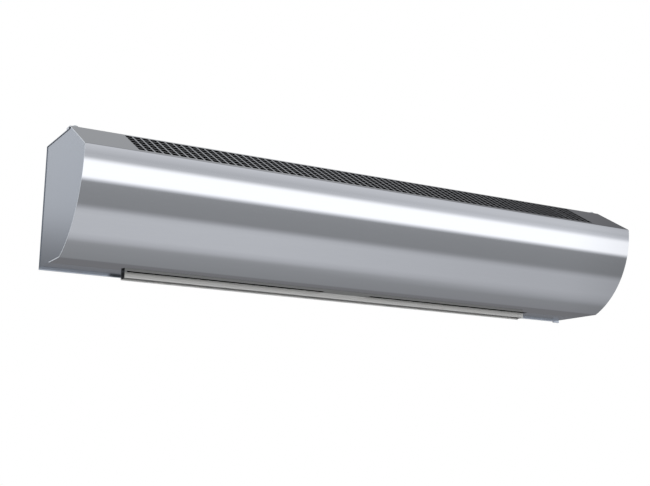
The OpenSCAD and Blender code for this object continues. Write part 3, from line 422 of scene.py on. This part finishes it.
class AIRCURTAIN_OT_intake_shade_pads(Operator):
    """Lays black foam pads under the punched sheet, between the inner plates: painted shade for the inside
    seen through the holes
    """

    bl_idname = "air_curtain.intake_filter"
    bl_label = "Add the intake filter"

    def execute(self, context):
        slope = math.radians(SLOPE_DEG)
        low, high = SHADE_PAD_S
        pads = []
        for from_x, to_x in SHADE_PAD_X:
            pad = start_piece("intake_filter", bpy.ops.mesh.primitive_cube_add,
                              ((from_x + to_x) / 2, (low + high) / 2, -SHADE_PAD_UNDER - SHADE_PAD_T / 2),
                              (to_x - from_x, high - low, SHADE_PAD_T))
            pad.location = (0, FOLD[0] * MM, FOLD[1] * MM)
            pad.rotation_euler = (slope, 0, 0)
            choose(pad)
            bpy.ops.object.transform_apply(location=True, rotation=True, scale=True)
            pads.append(pad)
        join_foam(pads, "intake_filter")
        return {"FINISHED"}


class AIRCURTAIN_OT_slot_shade_strips(Operator):
    """Closes the slot before the nozzle with a black foam strip on each side of the bridge, painted shade
    for the slot's dark inside
    """

    bl_idname = "air_curtain.slot_seal"
    bl_label = "Add the slot seal"

    def execute(self, context):
        strips = []
        for from_x, to_x in SHADE_STRIP_X:
            strips.append(start_piece("slot_seal", bpy.ops.mesh.primitive_cube_add,
                                      ((from_x + to_x) / 2, sum(SHADE_STRIP_Y) / 2, sum(SHADE_STRIP_Z) / 2),
                                      (to_x - from_x, SHADE_STRIP_Y[1] - SHADE_STRIP_Y[0], SHADE_STRIP_Z[1] - SHADE_STRIP_Z[0])))
        join_foam(strips, "slot_seal")
        return {"FINISHED"}


class AIRCURTAIN_OT_switch_keys(Operator):
    """Moulds the three rocker keys, each with its on and off marks"""

    bl_idname = "air_curtain.switch_keys"
    bl_label = "Add the switch keys"

    def execute(self, context):
        sizes = context.scene.air_curtain_keys
        for name, y in KEY_PLACES.items():
            self.add_key(name, y, sizes)
        return {"FINISHED"}

    def add_key(self, name, y, sizes):
        half_l = sizes.length / 2 / MM
        mid = (KEY_END_RISE - KEY_FOOT) / 2
        key = start_piece(f"{name}_rocker", bpy.ops.mesh.primitive_cube_add, (mid, 0, 0),
                          (KEY_END_RISE + KEY_FOOT, sizes.width / MM, 2 * half_l))
        bpy.ops.object.mode_set(mode="EDIT")
        bpy.ops.mesh.select_all(action="SELECT")
        bpy.ops.mesh.bisect(plane_co=(0, 0, 0), plane_no=(0, 0, 1))
        bpy.ops.mesh.select_all(action="SELECT")
        bpy.ops.mesh.bisect(plane_co=(KEY_NECK * MM, 0, 0), plane_no=(1, 0, 0))
        pick(key, "VERT", lambda p: near(p.x, KEY_END_RISE) and abs(p.z) < NEAR)
        bpy.ops.transform.translate(value=((KEY_RISE - KEY_END_RISE) * MM, 0, 0))
        pick(key, "VERT", lambda p: near(p.x, -KEY_FOOT))
        bpy.ops.transform.resize(value=(1, 1, KEY_FOOT_HALF / half_l), center_override=(0, 0, 0))
        pick(key, "EDGE", lambda p: p.x > (KEY_RISE - 0.01) * MM and abs(p.z) < NEAR)
        bpy.ops.mesh.bevel(offset=KEY_CROWN * MM, segments=4, affect="EDGES")
        bpy.ops.object.mode_set(mode="OBJECT")
        apply_modifier(key, "BEVEL", width=sizes.edge, segments=3, limit_method="ANGLE",
                       angle_limit=math.radians(40.0))
        marks = [self.add_on_mark(sizes), self.add_off_mark(sizes)]
        choose(key)
        for mark in marks:
            mark.select_set(True)
        bpy.ops.object.join()
        key.rotation_euler = (0, math.radians(KEY_TILT_DEG), 0)
        key.location = (KEY_AXIS_X * MM, y * MM, KEY_Z * MM)
        choose(key)
        bpy.ops.object.transform_apply(location=True, rotation=True, scale=True)
        bpy.ops.object.shade_smooth_by_angle(angle=math.radians(35.0))
        slot = "white_plastic" if name == "fan" else "red_plastic"
        place(key, f"{name}_switch", slot, f"{name}_key")

    def add_on_mark(self, sizes):
        """Bar near the upper end of a key, a little proud of it."""
        height = sizes.mark / MM
        mark = start_piece("on_mark", bpy.ops.mesh.primitive_cube_add, (0, 0, 0), (MARK_T, BAR_W, height))
        return self.lay_mark(mark, sizes.length / MM / 2 * MARK_PLACE)

    def add_off_mark(self, sizes):
        """Ring near the lower end of a key, a little proud of it."""
        bpy.ops.object.select_all(action="DESELECT")
        bpy.ops.mesh.primitive_torus_add(major_radius=sizes.mark / 2, minor_radius=MARK_T * MM,
                                         major_segments=28, minor_segments=8,
                                         rotation=(0, math.radians(90.0), 0))
        mark = bpy.context.object
        mark.name = "off_mark"
        bpy.ops.object.transform_apply(location=True, rotation=True, scale=True)
        return self.lay_mark(mark, -sizes.length / MM / 2 * MARK_PLACE)

    def lay_mark(self, mark, along):
        """Lays a mark on the sloping top of the key at its distance from the middle."""
        half_l = bpy.context.scene.air_curtain_keys.length / 2 / MM
        rise = KEY_RISE + (KEY_END_RISE - KEY_RISE) * abs(along) / half_l
        lean = math.atan2(KEY_END_RISE - KEY_RISE, half_l) * (1 if along > 0 else -1)
        mark.location = (rise * MM, 0, along * MM)
        mark.rotation_euler = (0, -lean, 0)
        choose(mark)
        bpy.ops.object.transform_apply(location=True, rotation=True, scale=True)
        return mark


# Finishes

# Part of its range that a noise fills
PATTERN_RANGE = {"From Min": 0.25, "From Max": 0.75}


def add_node(tree, kind, settings=None, links=None):
    """Adds a node, sets its fields and sockets, and links what feeds it."""
    node = tree.nodes.new(kind)
    for key, value in (settings or {}).items():
        if isinstance(key, str) and hasattr(node, key):
            setattr(node, key, value)
        else:
            node.inputs[key].default_value = value
    for key, source in (links or {}).items():
        tree.links.new(source, node.inputs[key])
    return node


def start_finish(name, grain_mm):
    """A new material with its shader, and the place on the piece counted in grains of the given size."""
    material = bpy.data.materials.new(name)
    material.use_nodes = True
    tree = material.node_tree
    per_metre = [1 / (size * MM) for size in grain_mm]
    place_on = add_node(tree, "ShaderNodeTexCoord").outputs["Object"]
    where = add_node(tree, "ShaderNodeVectorMath", {"operation": "MULTIPLY", 1: per_metre}, {0: place_on})
    return material, tree, tree.nodes["Principled BSDF"], where.outputs[0]


def vary_colour(tree, shader, pattern, dark, light):
    """Colours the surface between two shades by a pattern, which stays near its middle."""
    share = add_node(tree, "ShaderNodeMapRange", PATTERN_RANGE, {"Value": pattern}).outputs["Result"]
    shades = add_node(tree, "ShaderNodeMix", {"data_type": "RGBA", 6: dark, 7: light}, {"Factor": share})
    tree.links.new(shades.outputs[2], shader.inputs["Base Color"])


def vary_gloss(tree, shader, pattern, low, high):
    """Varies the roughness of the surface between two values by a pattern."""
    rough = add_node(tree, "ShaderNodeMapRange", {**PATTERN_RANGE, "To Min": low, "To Max": high},
                     {"Value": pattern})
    tree.links.new(rough.outputs["Result"], shader.inputs["Roughness"])


def raise_surface(tree, shader, pattern, height_mm, strength):
    """Raises the surface where the pattern is high."""
    bump = add_node(tree, "ShaderNodeBump", {"Distance": height_mm * MM, "Strength": strength},
                    {"Height": pattern})
    tree.links.new(bump.outputs["Normal"], shader.inputs["Normal"])


def shade(base, factor):
    """The colour made darker or lighter."""
    return [min(1.0, c * factor) for c in base[:3]] + [1.0]


def plain_finish(name, base, contrast, grain_mm, metallic, rough, bump_um, ior=1.5, **sockets):
    """A finish whose colour, gloss and surface all vary with one grain of a real size."""
    material, tree, shader, where = start_finish(name, grain_mm)
    grain = add_node(tree, "ShaderNodeTexNoise", {"Scale": 1.0, "Detail": 3.0, "Roughness": 0.5},
                     {"Vector": where}).outputs["Fac"]
    vary_colour(tree, shader, grain, shade(base, 1 - contrast), shade(base, 1 + contrast))
    vary_gloss(tree, shader, grain, *rough)
    if bump_um:
        raise_surface(tree, shader, grain, bump_um * MM, 1.0)
    shader.inputs["Metallic"].default_value = metallic
    shader.inputs["IOR"].default_value = ior
    for socket, value in sockets.items():
        shader.inputs[socket.replace("_", " ")].default_value = value
    return material


def galvanised_finish():
    # Hot-dip galvanised sheet: flat zinc crystals about 9 mm across, each with its own grey and gloss
    material, tree, shader, where = start_finish("galvanised_steel", (9, 9, 9))
    cells = add_node(tree, "ShaderNodeTexVoronoi", {"Scale": 1.0, "Randomness": 1.0}, {"Vector": where})
    grey = add_node(tree, "ShaderNodeSeparateColor", None, {"Color": cells.outputs["Color"]})
    vary_colour(tree, shader, grey.outputs[0], colour("A3A8AD"), colour("C2C6CA"))
    vary_gloss(tree, shader, grey.outputs[1], 0.3, 0.48)
    shader.inputs["Metallic"].default_value = 1.0
    return material


def winding_finish():
    # Enamelled copper wire, 0.6 mm thick and wound round the axis, drawn 1.2 mm apart so that it shows
    material, tree, shader, where = start_finish("copper_winding", (7.5, 7.5, 7.5))
    wires = add_node(tree, "ShaderNodeTexWave", {"wave_type": "BANDS", "bands_direction": "X", "Scale": 1.0,
                                                 "Distortion": 0.6, "Detail": 1.0}, {"Vector": where})
    vary_colour(tree, shader, wires.outputs["Fac"], colour("7A3518"), colour("C4693A"))
    raise_surface(tree, shader, wires.outputs["Fac"], 0.2, 0.8)
    shader.inputs["Metallic"].default_value = 0.9
    shader.inputs["Roughness"].default_value = 0.32
    shader.inputs["Coat Weight"].default_value = 0.5
    return material


def board_finish():
    # Glass-epoxy circuit board: green solder mask over copper tracks 1.6 mm wide
    material, tree, shader, where = start_finish("circuit_board", (5, 5, 5))
    upright = add_node(tree, "ShaderNodeMapping", {"Rotation": (math.radians(90.0), 0, 0)},
                       {"Vector": where})
    tracks = add_node(tree, "ShaderNodeTexBrick", {"Scale": 1.0, "Mortar Size": 0.06, "Mortar Smooth": 0.3,
                                                   "Brick Width": 2.6, "Row Height": 0.8},
                      {"Vector": upright.outputs[0]})
    vary_colour(tree, shader, tracks.outputs["Fac"], colour("12502E"), colour("2C7A4C"))
    vary_gloss(tree, shader, tracks.outputs["Fac"], 0.35, 0.25)
    return material


def make_finishes(colours):
    """One material for each finish of the record, keyed by its slot."""
    stainless = plain_finish(
        # Ferritic stainless, belt-brushed along the casing: long fine lines, drawn 1.4 mm apart so
        # that they just show, that soften each reflection across them
        "brushed_stainless", list(colours.stainless), 0.014, (30, 0.9, 0.9), 1.0, (0.06, 0.08), 0.2)
    paint = plain_finish(
        # Polyester coating with metal flake on steel sheet: silky, with a fine orange peel
        "painted_steel", list(colours.paint), 0.03, (2.2, 2.2, 2.2), 0.85, (0.13, 0.18), 1.5,
        Coat_Weight=0.1, Coat_Roughness=0.25)
    sheared_highlight = plain_finish(
        # Sheared edge of the stainless sheet: torn grain that scatters the light from all round, in a paler
        # colour than the sheet, which paints a highlight line along the cut edge
        "highlit_sheared_edge", list(colours.sheared_highlight), 0.04, (1.2, 1.2, 1.2), 0.2, (0.45, 0.55), 3)
    aluminium = plain_finish(
        # Extruded aluminium, satin anodised: die lines along the strip under a clear oxide
        "anodised_aluminium", list(colours.aluminium), 0.05, (160, 0.9, 0.9), 1.0, (0.3, 0.4), 1.0)
    return {
        "brushed_stainless": stainless,
        "highlit_sheared_edge": sheared_highlight,
        "painted_steel": paint,
        "anodised_aluminium": aluminium,
        "galvanised_steel": galvanised_finish(),
        # Die-cast aluminium, shot blasted: matt, with fine pits
        "cast_aluminium": plain_finish("cast_aluminium", colour("A9AAAA"), 0.1, (0.9, 0.9, 0.9), 1.0,
                                       (0.42, 0.56), 25),
        # Bright zinc plating, clear passivated: bluish and slightly uneven
        "zinc_plated_steel": plain_finish("zinc_plated_steel", colour("C3C8CE"), 0.07, (1.6, 1.6, 1.6), 1.0,
                                          (0.22, 0.36), 2),
        # Turned and ground steel: fine rings round the axis
        "machined_steel": plain_finish("machined_steel", colour("AEB0B3"), 0.08, (0.5, 6, 6), 1.0,
                                       (0.22, 0.34), 2),
        # Glass-filled nylon, moulded: near black with a spark-eroded texture
        "black_plastic": plain_finish("black_plastic", list(colours.plastic), 0.15, (0.8, 0.8, 0.8), 0.0,
                                      (0.42, 0.55), 12, ior=1.53),
        # Moulded nitrile rubber: dull, with a faint bloom
        "black_rubber": plain_finish("black_rubber", colour("151515"), 0.25, (3, 3, 3), 0.0,
                                     (0.62, 0.78), 10, ior=1.52),
        # Open-cell polyether foam, near black and without gloss, with cells 1.3 mm across: painted shade
        # for the dark inside behind the holes and the slot
        "shade_foam": plain_finish("shade_foam", colour("0C0C0D"), 0.6, (1.3, 1.3, 1.3), 0.0,
                                    (0.85, 0.95), 300, Specular_IOR_Level=0.0),
        # PVC sheath: smooth, a little waxy
        "lead_sheath": plain_finish("lead_sheath", colour("202124"), 0.12, (4, 4, 4), 0.0,
                                    (0.34, 0.44), 4, ior=1.54),
        # Sintered bronze, oil-filled: porous and brownish
        "sintered_bronze": plain_finish("sintered_bronze", colour("A07A45"), 0.18, (0.7, 0.7, 0.7), 1.0,
                                        (0.35, 0.52), 18),
        "copper_winding": winding_finish(),
        # Glazed steatite: warm white, glossy, with faint mottling
        "white_ceramic": plain_finish("white_ceramic", colour("E9E4D8"), 0.03, (5, 5, 5), 0.0,
                                      (0.14, 0.24), 6, ior=1.56),
        "circuit_board": board_finish(),
        # PBT relay housing: mid blue, matt
        "blue_plastic": plain_finish("blue_plastic", colour("2456A0"), 0.06, (1.2, 1.2, 1.2), 0.0,
                                     (0.36, 0.46), 8, ior=1.55),
        # Polycarbonate keys: glossy, with fine sink marks
        "white_plastic": plain_finish("white_plastic", list(colours.fan_key), 0.02, (6, 6, 6), 0.0,
                                      (0.2, 0.28), 6, ior=1.58),
        "red_plastic": plain_finish("red_plastic", list(colours.heat_key), 0.05, (6, 6, 6), 0.0,
                                    (0.2, 0.28), 6, ior=1.58),
    }


class AIRCURTAIN_OT_finishes(Operator):
    """Gives every piece and every CAD node the finish of its slot"""

    bl_idname = "air_curtain.finishes"
    bl_label = "Apply the finishes"

    def execute(self, context):
        finishes = make_finishes(context.scene.air_curtain_colours)
        for name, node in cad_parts.items():
            slot = SLOT_OF.get(name)
            if slot is None:
                raise RuntimeError(f"no finish is given for {name}")
            node.data.materials.clear()
            node.data.materials.append(finishes[slot])
        for name, slot in PIECE_FINISH.items():
            piece = bpy.data.objects[name]
            piece.data.materials.clear()
            piece.data.materials.append(finishes[slot])
        for name in ("front_cover", "intake_cover"):
            self.show_cut_edges(bpy.data.objects[name], finishes["highlit_sheared_edge"])
        return {"FINISHED"}

    def show_cut_edges(self, sheet, finish):
        """Gives the cut-edge finish, whose pale colour paints a highlight, to the faces at the two ends of
        a sheet.
        """
        sheet.data.materials.append(finish)
        for face in sheet.data.polygons:
            if abs(face.normal.x) > 0.5 and abs(face.center.x) > (HALF_LEN - CUT_ZONE) * MM:
                face.material_index = 1


SLOT_OF = {}
for finish, nodes in {
    "painted_steel": "back_panel left_end_plate right_end_plate",
    "brushed_stainless": "front_panel intake_panel",
    "anodised_aluminium": "nozzle_front_profile nozzle_rear_profile air_vane run_capacitor",
    "galvanised_steel": "left_bulkhead right_bulkhead left_rear_air_guide right_rear_air_guide"
                        " left_front_air_guide right_front_air_guide motor_bracket capacitor_clip",
    "black_plastic": "left_nozzle_end right_nozzle_end left_fan_rotor right_fan_rotor board_spacers"
                     " thermal_cutout switch_housing",
    "machined_steel": "motor_shaft left_stub_shaft right_stub_shaft motor_armature motor_stator"
                      " front_heater rear_heater",
    "black_rubber": "left_coupling right_coupling left_bearing_rubber right_bearing_rubber"
                    " motor_rubber_rings cable_grommet",
    "sintered_bronze": "left_bearing right_bearing terminal_screws switch_terminals earth_stud",
    "zinc_plated_steel": "motor_can cover_screws casing_screws bracket_screws nozzle_screws",
    "cast_aluminium": "left_motor_cap right_motor_cap",
    "copper_winding": "motor_windings",
    "white_ceramic": "heater_insulators terminal_block",
    "circuit_board": "relay_board",
    "blue_plastic": "relays",
    "white_plastic": "fan_key",
    "red_plastic": "low_heat_key high_heat_key",
    "lead_sheath": "motor_lead heater_leads switch_lead",
}.items():
    SLOT_OF.update({node: finish for node in nodes.split()})

PIECE_FINISH = {
    "front_cover": "brushed_stainless",
    "intake_cover": "brushed_stainless",
    "intake_filter": "shade_foam",
    "slot_seal": "shade_foam",
    "fan_rocker": "white_plastic",
    "low_heat_rocker": "red_plastic",
    "high_heat_rocker": "red_plastic",
}


# Studio

# What polished metal sees round the casing, as (angle below the horizon towards the front, sRGB grey
# at the left of the studio, the same at the right). The strips lie along the casing.
STUDIO = [
    (-180, 94, 94), (-172, 82, 104), (-169.5, 82, 110), (-167.5, 156, 112),
    (-160, 166, 112), (-156, 144, 106), (-133, 138, 90), (-112, 126, 88),
    (-98, 100, 84), (-80, 186, 186), (-26, 190, 180), (-19, 190, 186),
    (-14, 180, 190), (-10, 170, 184), (-5.5, 176, 200), (-1, 255, 255),
    (16, 255, 255), (18.5, 196, 192), (21, 134, 131), (30, 130, 128),
    (45, 127, 125), (48, 146, 128), (52, 174, 150), (56, 179, 163),
    (80, 178, 163), (87, 166, 158), (93, 138, 152), (98, 133, 140),
    (102, 132, 128), (118, 126, 123), (140, 110, 105), (180, 94, 94),
]
STRIP_STRENGTH = 1.62
# Where along x, as a share of the ray, the left of the studio turns into the right, where the softbox
# beyond the left end begins and is full, and where the strips end on the right
ACROSS = (0.40, 0.72)
LEFT_BOX = (-0.72, -0.86)
LEFT_BOX_GREY = 238
RIGHT_END = (0.668, 0.7)
RIGHT_END_SHARE = 0.84
KEPT_PER_TURN = 0.28


def grey(level):
    """Linear value of a cool studio grey given as sRGB."""
    cool = (level, min(255.0, level * 1.004), min(255.0, level * 1.018))
    return colour("".join(f"{round(c):02X}" for c in cool))


class AIRCURTAIN_OT_studio(Operator):
    """Sets up the floor, the soft lamps, the studio seen in the metal and the camera"""

    bl_idname = "air_curtain.studio"
    bl_label = "Set up the studio"

    def execute(self, context):
        studio = context.scene.air_curtain_studio
        context.scene.view_settings.view_transform = "Standard"
        self.add_world(context.scene, studio)
        self.add_floor(studio)
        self.add_lamps()
        self.add_camera(context.scene, studio)
        return {"FINISHED"}

    def add_strips(self, tree, factor, column):
        """A colour ramp of the studio's stops, from one of its two columns of greys."""
        node = add_node(tree, "ShaderNodeValToRGB", None, {"Fac": factor})
        ramp = node.color_ramp
        ramp.interpolation = "LINEAR"
        stops = [(row[0] / 360 + 0.5, grey(row[column])) for row in STUDIO]
        while len(ramp.elements) > 1:
            ramp.elements.remove(ramp.elements[0])
        ramp.elements[0].position, ramp.elements[0].color = stops[0]
        for position, level in stops[1:]:
            element = ramp.elements.new(position)
            element.color = level
        return node.outputs["Color"]

    def add_world(self, scene, studio):
        """White for the camera, soft light for matt surfaces and long strips for metal."""
        world = bpy.data.worlds.new("studio")
        scene.world = world
        # Matt and polished surfaces are lit apart, which needs each ray to find its own light
        world.cycles.sampling_method = "NONE"
        world.use_nodes = True
        tree = world.node_tree
        tree.nodes.clear()
        ray = add_node(tree, "ShaderNodeSeparateXYZ", None,
                       {"Vector": tree.nodes.new("ShaderNodeTexCoord").outputs["Generated"]})
        turned = [add_node(tree, "ShaderNodeMath", {"operation": "MULTIPLY", 1: -1.0},
                           {0: ray.outputs[axis]}).outputs[0] for axis in ("Z", "Y")]
        angle = add_node(tree, "ShaderNodeMath", {"operation": "ARCTAN2"}, {0: turned[0], 1: turned[1]})
        factor = add_node(tree, "ShaderNodeMath",
                          {"operation": "MULTIPLY_ADD", 1: 1 / (2 * math.pi), 2: 0.5},
                          {0: angle.outputs[0]}).outputs[0]
        across = add_node(tree, "ShaderNodeMapRange",
                          {"interpolation_type": "SMOOTHSTEP", "From Min": ACROSS[0],
                           "From Max": ACROSS[1]}, {"Value": ray.outputs["X"]})
        strips = add_node(tree, "ShaderNodeMix", {"data_type": "RGBA"}, {"Factor": across.outputs[0]})
        tree.links.new(self.add_strips(tree, factor, 1), strips.inputs[6])
        tree.links.new(self.add_strips(tree, factor, 2), strips.inputs[7])
        rays = tree.nodes.new("ShaderNodeLightPath")
        # Light that arrives only after more than one turn fades, so the inside and the slots stay dark
        turns = add_node(tree, "ShaderNodeMath", {"operation": "SUBTRACT", 1: 2.0},
                         {0: rays.outputs["Ray Depth"]})
        fade = add_node(tree, "ShaderNodeMath", {"operation": "POWER", 0: KEPT_PER_TURN},
                        {1: turns.outputs[0]})
        # Softbox beyond the left end, which lights the cut edges of the sheet
        beyond = add_node(tree, "ShaderNodeMapRange",
                          {"interpolation_type": "SMOOTHSTEP", "From Min": LEFT_BOX[0],
                           "From Max": LEFT_BOX[1]}, {"Value": ray.outputs["X"]})
        boxed = add_node(tree, "ShaderNodeMix", {"data_type": "RGBA"}, {"Factor": beyond.outputs[0]})
        tree.links.new(strips.outputs[2], boxed.inputs[6])
        boxed.inputs[7].default_value = grey(LEFT_BOX_GREY)
        # The strips end on the right, so that end of the casing is a little darker
        ending = add_node(tree, "ShaderNodeMapRange",
                          {"From Min": RIGHT_END[0], "From Max": RIGHT_END[1], "To Min": STRIP_STRENGTH,
                           "To Max": RIGHT_END_SHARE * STRIP_STRENGTH}, {"Value": ray.outputs["X"]})
        metal = add_node(tree, "ShaderNodeVectorMath", {"operation": "SCALE"},
                         {0: boxed.outputs[2], "Scale": ending.outputs[0]})
        soft = add_node(tree, "ShaderNodeMapRange", {"From Min": -1.0, "From Max": 1.0,
                                                     "To Min": studio.soft_light * 0.5,
                                                     "To Max": studio.soft_light * 1.5},
                        {"Value": ray.outputs["Z"]})
        lit = add_node(tree, "ShaderNodeMix", {"data_type": "RGBA"},
                       {"Factor": rays.outputs["Is Glossy Ray"]})
        tree.links.new(soft.outputs[0], lit.inputs[6])
        tree.links.new(metal.outputs[0], lit.inputs[7])
        lit = add_node(tree, "ShaderNodeVectorMath", {"operation": "SCALE"},
                       {0: lit.outputs[2], "Scale": fade.outputs[0]})
        seen = add_node(tree, "ShaderNodeMath", {"operation": "MAXIMUM"},
                        {0: rays.outputs["Is Camera Ray"], 1: rays.outputs["Is Transmission Ray"]})
        out = add_node(tree, "ShaderNodeMix", {"data_type": "RGBA"}, {"Factor": seen.outputs[0]})
        tree.links.new(lit.outputs[0], out.inputs[6])
        out.inputs[7].default_value = (1.0, 1.0, 1.0, 1.0)
        background = add_node(tree, "ShaderNodeBackground", {"Strength": 1.0}, {"Color": out.outputs[2]})
        add_node(tree, "ShaderNodeOutputWorld", None, {"Surface": background.outputs[0]})

    def add_floor(self, studio):
        """Plain pale floor below the casing, which metal doesn't mirror."""
        bpy.ops.object.select_all(action="DESELECT")
        bpy.ops.mesh.primitive_plane_add(size=studio.floor_size, location=(0, 0, studio.floor_z))
        floor = bpy.context.object
        floor.name = "floor"
        floor.visible_glossy = False
        floor.data.materials.append(plain_finish("floor_paint", colour("F4F4F4"), 0.01, (40, 40, 40), 0.0,
                                                 (0.7, 0.8), 0))

    def add_lamps(self):
        """A large key lamp above the left end and a weaker one at the right front."""
        for name, at, aim, size, power in (
            ("key_lamp", (-1.6, -1.5, 1.7), (-0.2, -0.1, 0.0), 1.8, 34.0),
            ("fill_lamp", (1.9, -1.8, 0.6), (0.2, -0.1, 0.0), 2.0, 14.0),
        ):
            light = bpy.data.lights.new(name, "AREA")
            light.size = size
            light.energy = power
            lamp = bpy.data.objects.new(name, light)
            bpy.context.scene.collection.objects.link(lamp)
            lamp.location = at
            lamp.rotation_euler = (Vector(aim) - Vector(at)).to_track_quat("-Z", "Y").to_euler()
            lamp.visible_glossy = False
            lamp.visible_camera = False

    def add_camera(self, scene, studio):
        """The photograph's viewpoint: low, to the left, looking up at the front."""
        camera = bpy.data.cameras.new("camera")
        camera.sensor_fit = "HORIZONTAL"
        camera.sensor_width = 36.0
        camera.lens = studio.lens
        camera.clip_start = 0.05
        viewer = bpy.data.objects.new("camera", camera)
        scene.collection.objects.link(viewer)
        viewer.location = studio.camera_at
        viewer.rotation_euler = studio.camera_turn
        scene.camera = viewer


class AIRCURTAIN_PT_panel(Panel):
    """Lists the sizes, the colours and the steps"""

    bl_idname = "AIRCURTAIN_PT_panel"
    bl_label = "Air Curtain"
    bl_space_type = "VIEW_3D"
    bl_region_type = "UI"
    bl_category = "Air Curtain"

    def draw(self, context):
        for group in PROPERTY_GROUPS:
            box = self.layout.box()
            settings = getattr(context.scene, group)
            for name in settings.bl_rna.properties.keys():
                if name not in ("rna_type", "name"):
                    box.prop(settings, name)
        for step in STEPS:
            self.layout.operator(step.bl_idname)


PROPERTY_GROUPS = {
    "air_curtain_covers": CoverSizes,
    "air_curtain_keys": KeySizes,
    "air_curtain_colours": FinishColours,
    "air_curtain_studio": StudioSettings,
}
STEPS = (
    AIRCURTAIN_OT_front_cover,
    AIRCURTAIN_OT_intake_cover,
    AIRCURTAIN_OT_intake_shade_pads,
    AIRCURTAIN_OT_slot_shade_strips,
    AIRCURTAIN_OT_switch_keys,
    AIRCURTAIN_OT_finishes,
    AIRCURTAIN_OT_studio,
)


def register():
    for kind in (*PROPERTY_GROUPS.values(), *STEPS, AIRCURTAIN_PT_panel):
        bpy.utils.register_class(kind)
    for name, kind in PROPERTY_GROUPS.items():
        setattr(bpy.types.Scene, name, PointerProperty(type=kind))


def unregister():
    for name in PROPERTY_GROUPS:
        delattr(bpy.types.Scene, name)
    for kind in (AIRCURTAIN_PT_panel, *reversed(STEPS), *reversed(PROPERTY_GROUPS.values())):
        bpy.utils.unregister_class(kind)


def main():
    register()
    bpy.ops.air_curtain.front_cover()
    bpy.ops.air_curtain.intake_cover()
    bpy.ops.air_curtain.intake_filter()
    bpy.ops.air_curtain.slot_seal()
    bpy.ops.air_curtain.switch_keys()
    bpy.ops.air_curtain.finishes()
    bpy.ops.air_curtain.studio()


if __name__ == "__main__":
    main()
